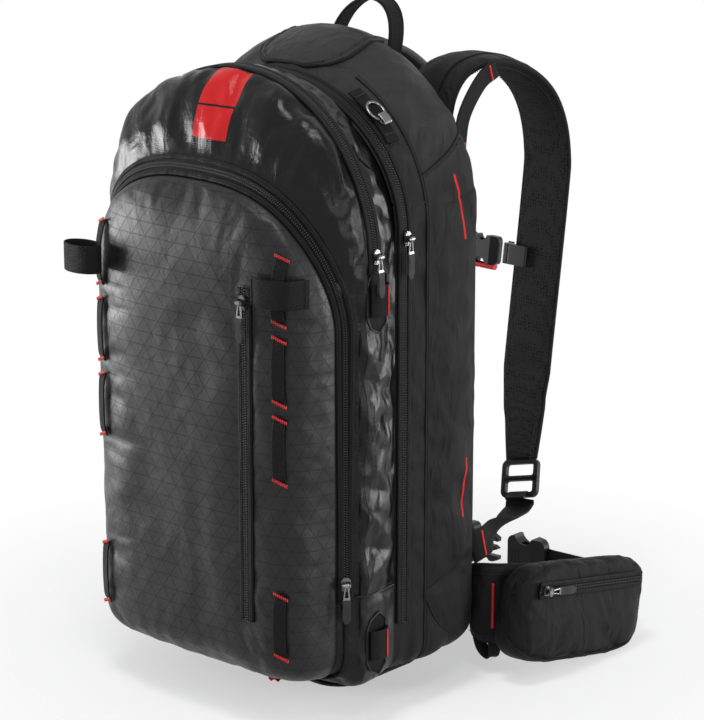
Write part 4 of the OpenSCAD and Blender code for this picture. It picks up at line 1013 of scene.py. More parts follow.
def pocket_shell():
    """Front pocket of grid laminate, held at its zips and at the tacks of its webbing loops."""
    side = loft([ring_points(ring) for ring in [ZIP_INNER] + POCKET_RINGS], 5)
    last = side[-1]
    spine = np.stack([0 * last[:, 0], last[:, 1], np.clip(last[:, 2], *POCKET_SPINE)], axis=1)
    front = [mix(last, spine, t) for t in np.linspace(0, 1, 19)[1:]]
    grid = np.concatenate([side, front])
    x, y, z = grid.reshape(-1, 3).T
    uv = np.stack([x + np.sign(x) * 0.85 * np.maximum(0, y - FRONT_Y), z], axis=1) * MM
    obj = grid_object("pocket_shell", grid, cloth_grid, uv)
    weld(obj)
    face_outwards(obj, FRONT_MIDDLE)
    x, y, z = pack_points(obj).T
    held = near(pack_points(obj), ring_arch(ZIP_INNER, 10), 8) | (z < BASE_Z + 14)
    held |= (np.abs(x - SLASH_X) < 9) & (z > SLASH_Z0 - 6) & (z < SLASH_Z1 + 6)
    for start in CHAIN_STARTS:
        for z_tack in (start * ARCH_Z, start * ARCH_Z + CHAIN_L):
            held |= (np.abs(np.abs(x) - CHAIN_X) < 8) & (np.abs(z - z_tack) < 4)
    fold(obj, held, [(80, 2.2, (1, 1, 1.4), 0.2), (30, 0.7, (1, 1, 1.6), 0.6)])
    settle(obj, held, 0.008, 5, out=5, sink=3)
    subdivide(obj)
    return dress(obj, "pack", "woven_fabric", "front_pocket")


# Share of the width and of the height about its middle that each row of the rear lip keeps
REAR_LIP = ((0.96, 0.985), (0.84, 0.93))
REAR_MIDDLE = 300


def with_lip(rings):
    """The main rings with a narrow rear face, which the frame sheet and foam cover."""
    last = rings[-1]
    about = np.array([0, 0, REAR_MIDDLE])
    return rings + [about + (last - about) * [sx, 1, sz] + [0, 0.2, 0] for sx, sz in REAR_LIP]


# Seams on the sides and on the airbag cover, Y and Z
SEAM_Y = 41.0
SEAM_LINES = (((SEAM_Y, 12), (SEAM_Y, 200), (SEAM_Y, 448)), ((SEAM_Y, 84), (76, 93), (114, 106)),
              ((SEAM_Y, 80), (60, 48), (98, 20)))
OVER_END = 1.1
ZIP_BORDER_Y = 21
YOKE_LINE = ((SEAM_Y, 470), (80, 484), (118, 502))


def side_seams(side):
    """Seams of one side panel: one behind the main zip, one across and one down to the foot."""
    return [curve_through([[side * HALF_W, y, z] for y, z in line], 3) for line in SEAM_LINES]


def cover_x(y, z):
    """Half width of the airbag cover at depth y and height z."""
    w, top = main_size(main_step(y))
    return w * math.sqrt(1 - ((z - MAIN_ZC) / (top - MAIN_ZC)) ** 2)


def cover_seams(side):
    """Seams of one side of the airbag cover: one that follows the main zip, and the yoke."""
    step = main_step(SEAM_Y)
    first = tip_angle(*main_size(step))
    over = main_arch(step, np.linspace(first, OVER_END, 60)) * [side, 1, 1]
    yoke = [[side * cover_x(y, z), y, z] for y, z in curve_through(YOKE_LINE, 3)]
    return [over, np.array(yoke)]


def lay_on(obj, line):
    """The line moved onto the nearest places of a cloth, and the cloth's direction there."""
    tree = BVHTree.FromPolygons(pack_points(obj).tolist(), [face.vertices[:] for face in obj.data.polygons])
    spots = [tree.find_nearest(p)[:2] for p in line]
    return np.array([at for at, _ in spots]), np.array([way for _, way in spots])


def seam(name, cloth, line):
    """Corded seam along a line on a cloth, with a row of stitches beside it."""
    path, out = lay_on(cloth, line)
    across = unit(np.cross(tangents(path), out))
    cord = sweep(name, path + out * 0.2, across, round_profile(1.0, 0.9, 8), cloth_plain)
    return [cord, stitches(name, path + across * 3.2 + out * 0.2, out, thread_black, *FINE_STITCH)]


def main_shell(name, ring_of, material, node, growth, seams):
    """Side panels or airbag cover: cloth over the main rings, held at its zip, seams and rear edge."""
    lines = seams(-1) + seams(1)
    depth_steps = [main_step(y) for y in np.linspace(Y_MAIN, Y_MAIN + MAIN_D, 25)]
    grid = np.array(with_lip([ring_of(step) for step in depth_steps]))
    rows, cols = grid.shape[:2]
    obj = grid_object(name, grid, material, grid_uv(grid), closed=False)
    face_outwards(obj, MAIN_MIDDLE)
    y, z = pack_points(obj)[:, 1:].T
    col = np.tile(np.arange(cols), rows)
    held = (y < ZIP_BORDER_Y) | (y > Y_SHEET - 4) | (col < 2) | (col > cols - 3) | (z < BASE_Z + 9)
    for line in lines:
        held |= near(pack_points(obj), lay_on(obj, line)[0], 5)
    fold(obj, held, [(62, 3.4, (1, 1, 2.2), 0.5), (27, 1.5, (1, 1, 1.6), 0.8)])
    settle(obj, held, growth, 6, out=5, sink=4)
    subdivide(obj)
    dress(obj, "pack", "woven_fabric", node)
    cords = [part for line in lines for part in seam(name + "_seams", obj, line)]
    return sew(name + "_seams", cords, "woven_fabric")


BASE_CORNER = 28.0
# Base panel: in from the sides, past the ridge, share of the main depth under it, and height of its cord
BASE_INSET = 32
BASE_PAST_RIDGE = 8
BASE_SHARE = 0.7
BASE_CORD_Z = 2.2
# Share of its outline and Z at each row of the base panel's edge
BASE_LEVELS = ((0.97, 0.0), (1.0, 1.2), (1.0, 4.1))


def base_trim():
    """Wear panel under the bag, with a corded edge."""
    half = HALF_W - BASE_INSET
    front, rear = -RIDGE_D - BASE_PAST_RIDGE, Y_MAIN + BASE_SHARE * MAIN_D
    r = BASE_CORNER
    ring = []
    for x, y, first in ((half - r, rear - r, 0), (r - half, rear - r, 90), (r - half, front + r, 180),
                        (half - r, front + r, 270)):
        for a in np.radians(np.linspace(first, first + 90, 10)):
            ring.append([x + r * math.cos(a), y + r * math.sin(a)])
    ring = np.array(ring)
    middle = np.array([0, (front + rear) / 2])
    rows = [np.column_stack([middle + (ring - middle) * s, np.full(len(ring), z)]) for s, z in BASE_LEVELS]
    points = np.concatenate(rows)
    faces = grid_faces(len(rows), len(ring), closed=True) + [tuple(range(len(ring)))]
    panel = mesh_object("base_panel_cloth", points, faces, cloth_plain, points[:, :2] * MM)
    face_outwards(panel, (0, 20, 3))
    edge = np.column_stack([ring, np.full(len(ring), BASE_CORD_Z)])
    edge = resample(np.concatenate([edge, edge[:1]]), 240)
    cord = sweep("base_cord", edge, UP, round_profile(2.0, 2.0, 8), cloth_plain, caps=False)
    return sew("base_panel_cloth", [panel, cord], "woven_fabric", "base_panel")


# Seam over the foot of a gusset, X and Y
FOOT_LINE = ((152.6, 1), (155.6, -22), (155.8, -36), (152.2, -43), (149, -48))
# Height below which a seam goes on from the pocket zip
UNDER_Z = 98
# Small red tab under the front pocket: X, Y from the side of the pocket zip and Z from the base
RED_TAB = ((64, -3, 8), (66, -7, 1), (67, -2, 4))


def foot_seams():
    """Corded seam over the foot of each gusset, and one under the bag that goes on from the pocket zip."""
    parts = []
    zip_line = (ring_points(ZIP_OUTER) + ring_points(ZIP_INNER)) / 2
    for side in (-1, 1):
        line = curve_through([[side * x, y, FOOT_SEAM_Z] for x, y in FOOT_LINE], 2)
        parts.append(sweep("foot_cord", line, UP, round_profile(0.9, 0.9, 8), cloth_gloss))
        parts.append(stitches("foot_thread", line - UP * 3, RIGHT * side, thread_black, *FINE_STITCH))
    low = zip_line[zip_line[:, 2] < UNDER_Z]
    first = int(np.argmax(np.linalg.norm(np.diff(low, axis=0), axis=1))) + 1
    under = np.concatenate([low[first:], low[:first]])
    out = unit(under - [0, 0, 120])
    run = resample(under + out * 1.2, 260)
    parts.append(sweep("foot_cord", run, (0, 1, 0.2), round_profile(2.4, 1.6, 8), webbing))
    tab = np.array(RED_TAB) + [0, POCKET_Y_SIDE, BASE_Z]
    parts.append(sweep("red_tab", curve_through(tab, 1), RIGHT, strap_profile(12, 1.2), tab_red))
    return sew("foot_cord", parts, "woven_fabric")


# Zips

TOOTH_PITCH = 2.3
TOOTH = (3.0, 1.5, 1.2)
TOOTH_OUT = 1.35
TOOTH_UP = 1.2
# Fold of cloth beside a zip and its two rows of stitches: in from the zip's edge, and out from its tape
BORDER_IN = 2.6
BORDER_OUT = 1.1
ROWS_IN = (1.6, 3.8)
ROWS_OUT = 1.9


def zip_run(name, edge_a, edge_b, inside, lift, body, node):
    """Zip between two edges: tape, folded cloth borders, two rows of coil teeth and stitching."""
    count = max(len(edge_a), len(edge_b))
    a, b = resample(edge_a, count), resample(edge_b, count)
    middle = (a + b) / 2
    across, out = along_frame(middle, b - a)
    if ((middle - inside) * out).sum() < 0:
        across, out = -across, -out
    half = np.linalg.norm(b - a, axis=1) / 2
    share = half / half.mean()
    flat = middle + out * (lift + 0.5)
    parts = [sweep(name, flat, across, strap_profile(2 * half.mean(), 1.0), tape, share)]
    for side in (-1, 1):
        border = middle + across * (side * (half - BORDER_IN))[:, None] + out * (lift + BORDER_OUT)
        parts.append(sweep(name, border, across, round_profile(2.7, 1.0, 10, 2.4), cloth_plain))
        for row_in in ROWS_IN:
            row = middle + across * (side * (half - row_in))[:, None] + out * (lift + ROWS_OUT)
            parts.append(stitches(name, row, out, thread_black, *FINE_STITCH))
        teeth = int(arc_length(middle)[-1] / TOOTH_PITCH)
        every_other = slice((side + 1) // 2, None, 2)
        shifted, n, side_way = (resample(line, 2 * teeth)[every_other] for line in (middle, out, across))
        n, side_way = unit(n), unit(side_way)
        centres = shifted + side_way * side * TOOTH_OUT + n * (lift + TOOTH_UP)
        shape, faces = lozenge(*TOOTH)
        parts.append(scatter(name, shape, faces, centres, side_way, np.cross(n, side_way), n, coil))
    return sew(name, parts, "zip_tape", node, body=body)


MAIN_ZIP_Y = Y_MAIN + 0.09 * MAIN_D
MAIN_ZIP_END = 62.0
POCKET_ZIP_END = 96.0
TOOL_ZIP_END = ARCH_Z - 8
ZIP_LIFT = 0.2
MAIN_ZIP_LIFT = 0.6
BAG_MIDDLE = np.array([0, 0, 250])


def main_zip_edge(y):
    """Edge of the main zip at depth y, from its end on the right over the bag to its end on the left."""
    step = main_step(y)
    w = main_size(step)[0]
    arch = main_arch(step, np.linspace(0, math.pi, 120))
    return resample(np.concatenate([[[w, y, MAIN_ZIP_END]], arch, [[-w, y, MAIN_ZIP_END]]]), 420)


def bag_zips():
    """The four zips of the bag and that of the hip pocket."""
    pocket = [ring_arch(ring, POCKET_ZIP_END) for ring in (ZIP_OUTER, ZIP_INNER)]
    zip_run("pocket_zip_tape", *pocket, BAG_MIDDLE, ZIP_LIFT, "pack", "pocket_zip")
    tool = [ring_arch(ring, TOOL_ZIP_END) for ring in TOOL_RINGS[1:3]]
    zip_run("tool_zip_tape", *tool, BAG_MIDDLE, ZIP_LIFT, "pack", "tool_zip")
    main = [main_zip_edge(MAIN_ZIP_Y + side * ZIP_W / 2) for side in (-1, 1)]
    zip_run("main_zip_tape", *main, BAG_MIDDLE, MAIN_ZIP_LIFT, "pack", "main_zip")
    upright = np.array([[SLASH_X, FRONT_Y, z] for z in np.linspace(SLASH_Z0, SLASH_Z1, 60)])
    slash = [upright + RIGHT * side * ZIP_W / 2 for side in (-1, 1)]
    zip_run("slash_zip_tape", *slash, BAG_MIDDLE, ZIP_LIFT, "pack", "slash_zip")
    middle = HIP_ORIGIN + HIP_UP * HIP_ZIP_V
    run = middle + HIP_DIR * np.linspace(HIP_ZIP_FROM, HIP_ZIP_TO, 50)[:, None]
    hip = [run + HIP_UP * side * ZIP_W / 2 for side in (-1, 1)]
    zip_run("hip_zip_tape", *hip, middle - HIP_OUT * 50, ZIP_LIFT, "hip_right", "hip_pocket_zip")


# Webbing on the outside of the bag

# Share of a loop's length and stand-off from the pocket at its bends
CHAIN_BENDS = ((0, 0), (0.12, 2.6), (0.5, 3.6), (0.88, 2.6), (1, 0))
CHAIN_W = 12.0


def chain_y(z):
    """Y of the pocket under a webbing loop at height z."""
    w = CHAIN_W
    sides = (pocket_y(CHAIN_X - w / 2, z) + pocket_y(CHAIN_X + w / 2, z)) / 2
    return min(pocket_y(CHAIN_X, z), sides)


def daisy_chains():
    """Columns of sewn-down webbing loops with red bar tacks."""
    w = CHAIN_W
    parts = []
    for side in (-1, 1):
        for start in CHAIN_STARTS:
            bends = [(start * ARCH_Z + share * CHAIN_L, up) for share, up in CHAIN_BENDS]
            path = np.array([[side * CHAIN_X, chain_y(z) - 2.2 - up, z] for z, up in bends])
            z = bends[2][0]
            slope = (pocket_y(CHAIN_X + w / 2, z) - pocket_y(CHAIN_X - w / 2, z)) / w
            across = unit([side, slope, 0]) * side
            line = curve_through(path, 3)
            parts.append(band("daisy_webbing", line, across, w, 1.6))
            out = np.cross(across, UP)
            out = out if out[1] < 0 else -out
            slant = unit(across - UP * 0.4 * side)
            for end in (0, -1):
                spot = path[end] + out * 2.2
                parts.append(bar_tack("daisy_tack", spot, slant, out, thread_red, w + 2, 3.2))
    return sew("daisy_webbing", parts, "webbing", "daisy_chains")


# Bends of the flat ice-axe band, X from the row of loops and stand-off from the pocket
AXE_BENDS = ((-26, 3), (-12, 9), (10, 11.5), (20, 4.5))
AXE_W = 26.0
AXE_DROP = 20
# Open ice-axe loop: half its size along X and Y, and its middle out from the row of loops and from the pocket
AXE_RING = (20, 12)
AXE_RING_X = 4
AXE_RING_Y = 22.2


def axe_loops():
    """Flat ice-axe band on the right and an open loop on the left."""
    z = ARCH_Z - AXE_DROP
    low = z - AXE_W / 2
    bends = [(CHAIN_X + x, up) for x, up in AXE_BENDS]
    flat = curve_through([[x, pocket_y(x, low) - up, z] for x, up in bends], 2)
    middle_x = -CHAIN_X - AXE_RING_X
    middle = np.array([middle_x, pocket_y(middle_x, low) - AXE_RING_Y, z])
    turns = np.radians(np.linspace(70, -290, 60))
    half_x, half_y = AXE_RING
    ring = middle + np.stack([half_x * np.cos(turns), half_y * np.sin(turns), 0 * turns], axis=1)
    parts = [band("axe_webbing", path, UP, AXE_W, 1.8) for path in (flat, ring)]
    for end in (flat[1], flat[-2]):
        parts.append(bar_tack("axe_tack", end + [0, -1.4, 0], UP, (0.2, -1, 0), thread_black, AXE_W - 4))
    return sew("axe_webbing", parts, "webbing", "axe_loops")


# Bends of a ski loop, X from the bag's side and Y from the ridge
SKI_BENDS = ((0.2, 19), (5, 12), (5, 2), (1.4, -5))
SKI_W = 28.0
# Outline of the window round a ski loop, Y from the ridge and Z from the loop's middle
WINDOW = ((17, 22), (6, 30), (-5, 24), (-9, 14), (-9, -14), (-5, -24), (6, -30), (17, -22))


def gusset_x(y):
    """Half width of the gusset at depth y."""
    rings = TOOL_RINGS[4::-1]
    return np.interp(y, [ring[5] for ring in rings], [ring[0] for ring in rings])


def window_shade(rim, side):
    """Near-black sheet in a window, painted as the shade inside it."""
    middle = rim.mean(axis=0)
    grid = np.array([mix(rim, middle, t) for t in np.linspace(0, 1, 9)])
    grid[:, :, 0] = side * (gusset_x(grid[:, :, 1]) + 0.5)
    # Painted shade: a near-black sheet laid in the window opening
    lining = grid_object("ski_window_shade", grid, recess_shade, (1, 2), closed=False)
    face_outwards(lining, (0, -RIDGE_D, middle[2]))
    return lining


def ski_loops():
    """Wide loops that come out of the side gussets, with a frame of cloth round each and a red tack."""
    parts = []
    for side in (-1, 1):
        for share in SKI_SHARES:
            z = share * ARCH_Z
            path = curve_through([[side * (HALF_W + x), -RIDGE_D + y, z] for x, y in SKI_BENDS], 2)
            parts.append(band("ski_webbing", path, UP, SKI_W, 2))
            tack = path[4] + [side * 1.4, 0, 0]
            parts.append(bar_tack("ski_tack", tack, UP, (side, 0.4, 0), thread_red, SKI_W - 3, 3.0))
            rim = [[side * (gusset_x(-RIDGE_D + y) + 0.9), -RIDGE_D + y, z + dz] for y, dz in WINDOW]
            rim = resample(rim + rim[:1], 90)
            parts.append(sweep("ski_window", rim, RIGHT, round_profile(1.0, 0.9, 8), cloth_gloss, caps=False))
            parts.append(window_shade(rim, side))
    return sew("ski_webbing", parts, "webbing", "ski_loops")


# Bends of the hook's claw, along the strap and away from it
CLAW_BENDS = ((-11, 3), (-15, 4), (-17, 6), (-13, 7.6), (-6, 7))
HOOK_W = 14
# Half the size of the hook's wire ring, along the strap and across it, and its stand-off
HOOK_RING = (10, 7.5)
HOOK_LIFT = 3.2


def hook_strap():
    """Compression strap across the right shoulder of the bag, with its metal hook."""
    y = Y_MAIN + 0.18 * MAIN_D + 2
    way = (0, 1, 0.3)
    path = main_arch(main_step(y + 9), np.radians(np.linspace(34, 58, 24)), 2.0)
    path[:, 1] = y
    parts = [band("hook_webbing", path, way, HOOK_W, 2)]
    across, out = along_frame(path, way)
    out = out if out[0, 0] > 0 else -out
    for k in (3, -4):
        spot = path[k] + out[k] * 1.2
        parts.append(bar_tack("hook_tack", spot, across[k], out[k], thread_black, HOOK_W - 2))
    k = len(path) // 2
    t = tangents(path)[k]
    turn = np.radians(np.linspace(0, 360, 40))
    half_l, half_w = HOOK_RING
    wire = np.outer(half_l * np.cos(turn), t) + np.outer(half_w * np.sin(turn), across[k])
    wire += path[k] + out[k] * HOOK_LIFT
    parts.append(sweep("hook_wire", wire, out[k], round_profile(1.5, 1.5, 8), steel, caps=False))
    claw = path[k] + [along * t + up * out[k] for along, up in CLAW_BENDS]
    parts.append(sweep("hook_claw", curve_through(claw, 1), across[k], strap_profile(9, 1.8), steel))
    return sew("hook_webbing", parts, "webbing", "hook_strap")


# Airbag cover's flap and carry handle

FLAP_Y0 = Y_MAIN + 24
FLAP_Y1 = Y_MAIN + 0.86 * MAIN_D
FLAP_HALF = 52.0
FLAP_LIFT = 0.9
FLAP_T = 3.0
FLAP_BEND = 18.0


def flap_half(y):
    """Half width of the flap at depth y, rounded towards its front edge."""
    bends = [FLAP_Y0, Y_MAIN + 0.42 * MAIN_D, Y_MAIN + 0.7 * MAIN_D, FLAP_Y1]
    wide = np.interp(y, bends, [0.72, 1, 1, 0.94])
    front = np.clip((FLAP_Y0 + 16 - y) / 16, 0, 1)
    return FLAP_HALF * wide * (1 - 0.35 * front ** 2.5)


def airbag_flap():
    """Burst flap of the airbag chamber: double cloth with a corded edge and a stitched border."""
    ys = np.linspace(FLAP_Y0, FLAP_Y1, 26)
    rows = []
    for y in ys:
        half = flap_half(y)
        rows.append([[x, y, dome_z(x, y) + FLAP_LIFT] for x in np.linspace(half, -half, 30)])
    low = np.array(rows)
    top = low + [0, 0, FLAP_T]
    loop = np.concatenate([top, low[:, ::-1]], axis=1)
    cloth = grid_object("flap_cloth", loop, cloth_cover, (0, 1), caps=True)
    face_outwards(cloth, (0, 60, 560))
    x, y = pack_points(cloth)[:, :2].T
    rim = (np.abs(x) > flap_half(y) - 6) | (y < FLAP_Y0 + 5) | (y > FLAP_Y1 - 5)
    cols = loop.shape[1]
    under = np.tile(np.arange(cols) >= cols // 2, len(ys))
    settle(cloth, rim | under, 0.008, 4, out=3, sink=1)
    edge = np.concatenate([top[::-1, 0], top[0, 1:-1], top[:, -1]])
    edge = curve_through(edge[::2], 3) - [0, 0, FLAP_T / 2]
    parts = [cloth, sweep("flap_cord", edge, UP, round_profile(1.9, 1.9, 8), webbing)]
    for inset in (0.90, 0.86):
        row = np.concatenate([[[s * inset * flap_half(y), y, 0] for y in order]
                              for s, order in ((1, ys[::-1]), (-1, ys))])
        row[:, 2] = [dome_z(x, y) + FLAP_LIFT + FLAP_T + 0.4 for x, y in row[:, :2]]
        parts.append(stitches("flap_thread", row, UP, thread_black))
    sewn = np.array([0, FLAP_Y1, dome_z(0, FLAP_Y1)])
    bent = sewn - [0, FLAP_BEND, 0]
    return dress_sewn(join("flap_cloth", parts), "airbag_flap", sewn, bent, "woven_fabric", "airbag_flap")


HANDLE_HALF = 38.0
HANDLE_W = 20.0
HANDLE_T = 2.4
HANDLE_INSET = 1.3
HANDLE_Y = Y_SHEET + HANDLE_W / 2 + 1
HANDLE_Z = ARCH_Z + HALF_W - 12
HANDLE_H = 60.0
HANDLE_LEAN = 17.0
HANDLE_TAIL = 9.0
HANDLE_BEND = 24.0
# Foam back panel's half width and the rise of its arch
FOAM_HALF = HALF_W - 15
FOAM_RISE = HALF_W - 25


def carry_handle():
    """Webbing grab loop with stitched edges, and the sewn-down ends below it."""
    a = np.radians(np.linspace(0, 180, 60))
    reach = (HANDLE_HALF - HANDLE_INSET) * np.cos(a) * (1 + 0.05 * np.sin(a))
    rise = (HANDLE_H - HANDLE_INSET) * np.sin(a) ** 0.8
    bend = np.stack([HANDLE_LEAN * np.sin(a) + reach, 0 * a + HANDLE_Y, HANDLE_Z + rise], axis=1)
    ends = bend[[0, -1]] - [0, 0, HANDLE_TAIL]
    path = resample(np.concatenate([ends[:1], bend, ends[1:]]), 90)
    parts = [band("handle_webbing", path, TO_WEARER, HANDLE_W, HANDLE_T)]
    across, out = along_frame(path, TO_WEARER)
    out = out if out[len(out) // 2, 2] > 0 else -out
    for side in (-1, 1):
        row = path + across * side * (HANDLE_W / 2 - 2.2) + out * 1.4
        parts.append(stitches("handle_thread", row, out, thread_black))
    sewn = np.array([0, HANDLE_Y, HANDLE_Z - HANDLE_TAIL])
    bent = sewn + [0, 0, HANDLE_BEND]
    dress_sewn(join("handle_webbing", parts), "carry_handle", sewn, bent, "webbing", "carry_handle")
    anchors = []
    top = HANDLE_Z - HANDLE_W / 2 - 0.3
    bottom = ARCH_Z + FOAM_RISE * math.sqrt(1 - ((HANDLE_HALF - 6) / FOAM_HALF) ** 2)
    for side in (-1, 1):
        x = side * (HANDLE_HALF - 1)
        run = np.array([[x, Y_FOAM + 4.7, z] for z in np.linspace(bottom, top, 12)])
        anchors.append(sweep("handle_ends", run, RIGHT, strap_profile(10, 7, 2), webbing))
        anchors.append(bar_tack("handle_ends", run[6] + [0, 3.8, 0], RIGHT, TO_WEARER, thread_red, 8))
    return sew("handle_ends", anchors, "webbing", "handle_anchors")


# Back

def cushion(name, ring, levels, face_y, spine_z, material, middle_x=0.0):
    """Padded slab. levels are the share of the way in and Y along its edge, and face_y is Y on its face."""
    spine = np.stack([np.full(len(ring), middle_x), np.clip(ring[:, 1], *spine_z)], axis=1)
    shares = [s for s, _ in levels] + list(np.linspace(levels[-1][0], 1, 14)[1:])
    rows = []
    for k, s in enumerate(shares):
        flat = mix(ring, spine, s)
        rows.append(at_depth(flat, levels[k][1] if k < len(levels) else face_y(flat[:, 0], flat[:, 1])))
    obj = grid_object(name, np.array(rows), material, (0, 2))
    weld(obj)
    face_outwards(obj, (middle_x, Y_SHEET - 60, float(np.mean(spine_z))))
    return obj


PAD_X = 66.0
PAD_HALF = 44.0
LUMBAR_HALF = 95.0
CHANNEL_W = 32.0
FOAM_SPINE = (120, 430)
PANEL_COUNTS = (24, 40, 40)


def pad_face(x, z):
    """Y of the pads' face, which is flat."""
    return Y_BACK


def back():
    """Foam back panel with its air channel, and the three pads that touch the wearer."""
    outline = half_outline(FOAM_HALF, ARCH_Z, ARCH_Z + FOAM_RISE, BASE_Z + 8, 2, PANEL_COUNTS)
    ring = whole_outline(outline)

    def foam_face(x, z):
        """Y of the foam's face, which is sunk along the air channel."""
        across = smooth(CHANNEL_W / 2, CHANNEL_W / 2 - 6, np.abs(x))
        up = smooth(LUMBAR_Z + 70, LUMBAR_Z + 80, z) * smooth(ARCH_Z + 108, ARCH_Z + 98, z)
        return Y_PAD - 0.4 - 5 * across * up

    edge = [(0, Y_FOAM), (0, Y_FOAM + 5), (0.02, Y_FOAM + 7.5), (0.05, Y_PAD - 0.5)]
    foam = cushion("back_foam", ring, edge, foam_face, FOAM_SPINE, cloth_plain)
    trim = at_depth(ring, Y_FOAM + 3.6)
    trim = resample(np.concatenate([trim, trim[:1]]), 400)
    cord = sweep("back_cord", trim, TO_WEARER, round_profile(2.2, 2.2, 8), webbing, caps=False)
    sew("back_foam", [foam, cord], "foam", "back_panel")

    edge = [(0, Y_PAD - 0.2), (0, Y_PAD + 3), (0.05, Y_PAD + 5.6), (0.13, Y_PAD + 7.2), (0.24, Y_BACK)]
    lumbar = half_outline(LUMBAR_HALF, LUMBAR_Z + 30, LUMBAR_Z + 58, LUMBAR_Z - 58, 5, (24, 16, 24))
    spine = (LUMBAR_Z - 10, LUMBAR_Z + 10)
    pads = [cushion("pads", whole_outline(lumbar), edge, pad_face, spine, mesh_cloth)]
    upper = half_outline(PAD_HALF, ARCH_Z - 10, ARCH_Z + 50, LUMBAR_Z + 70, 3, (20, 36, 24))
    spine = (LUMBAR_Z + 112, ARCH_Z)
    for x in (-PAD_X, PAD_X):
        pads.append(cushion("pads", whole_outline(upper) + [x, 0], edge, pad_face, spine, mesh_cloth, x))
    pads = join("pads", pads)
    y = pack_points(pads)[:, 1]
    settle(pads, (y < Y_PAD + 5) | (y > Y_BACK - 0.1), 0.004, 3, out=2, sink=1)
    subdivide(pads)
    dress(pads, "pack", "foam", "back_pads")


# Shoulder straps

STRAP_X = 79.0
STRAP_W = 56.0
STRAP_T = 12.0
STRAP_REACH = 172.0
STRAP_ROOT_Y = Y_PAD + STRAP_T / 2
# Share of the strap's reach and height above ARCH_Z, from the back panel over the shoulder
STRAP_STEPS = ((0, 62), (0, 92), (0.045, 119), (0.16, 137), (0.37, 142), (0.6, 133), (0.81, 111),
               (0.94, 81), (1, 41), (0.985, -4))
STRAP_KNOTS = np.array([[STRAP_X - 5 * (1 - share), STRAP_ROOT_Y + STRAP_REACH * share, ARCH_Z + z]
                        for share, z in STRAP_STEPS])
STRAP_TOP = np.array([STRAP_X, *STRAP_KNOTS[-1][1:]])
STRAP_DOWN = unit([0, -0.136, -1])
STRAP_L = 176.0
STRAP_TAPER = 88.0
STRAP_END = STRAP_TOP + STRAP_DOWN * STRAP_L
LOCK_POINT = STRAP_END + [18, -28, -78]
STRAP_BEND = mix(STRAP_END, LOCK_POINT, 0.5) + [-2, 3, 0]
LOCK_L = 38.6
WEBBING_W = 32.0
WEBBING_T = 2.0


def padded_strip(name, path, way, share, profile, cloths, cord, places):
    """Foam strip with a cord along each edge and a row of stitches inside the cord.

    cloths are those of its two faces. places are how far the cord and the stitches lie from the strip's
    middle line, and how high the stitches lie on it.
    """
    pad = sweep(name, path, way, profile, cloths[0], share, lining=cloths[1])
    across, out = along_frame(path, way)
    count = len(profile)
    edges = (0, 1, count - 1, count // 2 - 1, count // 2, count // 2 + 1)
    settle(pad, np.isin(np.tile(np.arange(count), len(path)), edges), 0.006, 3, out=1.2, sink=1.5)
    parts = [pad]
    cord_from, seam_from, seam_up = places
    for edge in (-1, 1):
        line = path + across * (edge * cord_from * share)[:, None]
        parts.append(sweep(name, line, np.abs(way), cord, webbing))
        row = path + across * (edge * seam_from * share)[:, None] + out * seam_up
        parts.append(stitches(name, row, out, thread_black))
    return parts


def shoulder_strap(side, word):
    """Foam strap with spacer mesh inside, woven cloth outside, corded edges and a webbing on it."""
    knots = np.concatenate([STRAP_KNOTS, [STRAP_END, STRAP_BEND, LOCK_POINT]])
    path = curve_through(knots * [side, 1, 1], 6)
    along = arc_length(path)
    share = np.interp(along[-1] - along, [0, STRAP_TAPER], [(WEBBING_W + 2) / STRAP_W, 1])
    name = "strap_" + word
    half, thick = STRAP_W / 2, STRAP_T / 2 - 0.6
    profile = round_profile(half - 1, thick, 32, 3.2)
    cord = round_profile(1.8, 2.6, 10)
    places = (half - 1.6, half - 6, thick)
    parts = padded_strip(name, path, RIGHT, share, profile, (cloth_plain, mesh_cloth), cord, places)
    inner = along_frame(path, RIGHT)[1]
    runner = (path - inner * (STRAP_T / 2 + 0.2))[4:-14]
    parts.append(band(name, runner, RIGHT, 20, 1.6))
    strap = join(name, parts)
    return dress(strap, "pack", "foam", "shoulder_strap_" + word)


def lock_frame():
    """Direction out of the ladder lock and across it, on the right."""
    out = unit(LOCK_POINT - STRAP_BEND)
    return out, unit(RIGHT - out * out[0])


def lower_webbing():
    """Webbing from each ladder lock to the lower rear corner of the bag."""
    out, side_way = lock_frame()
    start = LOCK_POINT + out * LOCK_L
    corner = np.array([HALF_W - 12.8, Y_FOAM + 1.6, 100])
    turn = corner + [3, 14, 4]
    bends = [start, start + out * 8, mix(start, turn, 0.55) + [3, 2, -2], turn, corner]
    ways = [side_way, side_way, [0.7, 0.5, 0.5], [0, -0.35, 1], [0, -0.2, 1]]
    parts = []
    for side in (-1, 1):
        flip = np.array([side, 1, 1])
        path = curve_through(np.array(bends) * flip, 4)
        at = np.linspace(0, 1, len(bends))
        spread = np.linspace(0, 1, len(path))
        across = np.stack([np.interp(spread, at, np.array(ways)[:, k] * flip[k]) for k in range(3)], axis=1)
        parts.append(band("lower_webbing", path, across, WEBBING_W, WEBBING_T))
        tack = path[-5] + [side * 1.5, 0, 0]
        parts.append(bar_tack("lower_webbing", tack, across[-5], (side, 0, 0), thread_red, WEBBING_W - 6))
    return sew("lower_webbing", parts, "webbing", "strap_webbing")


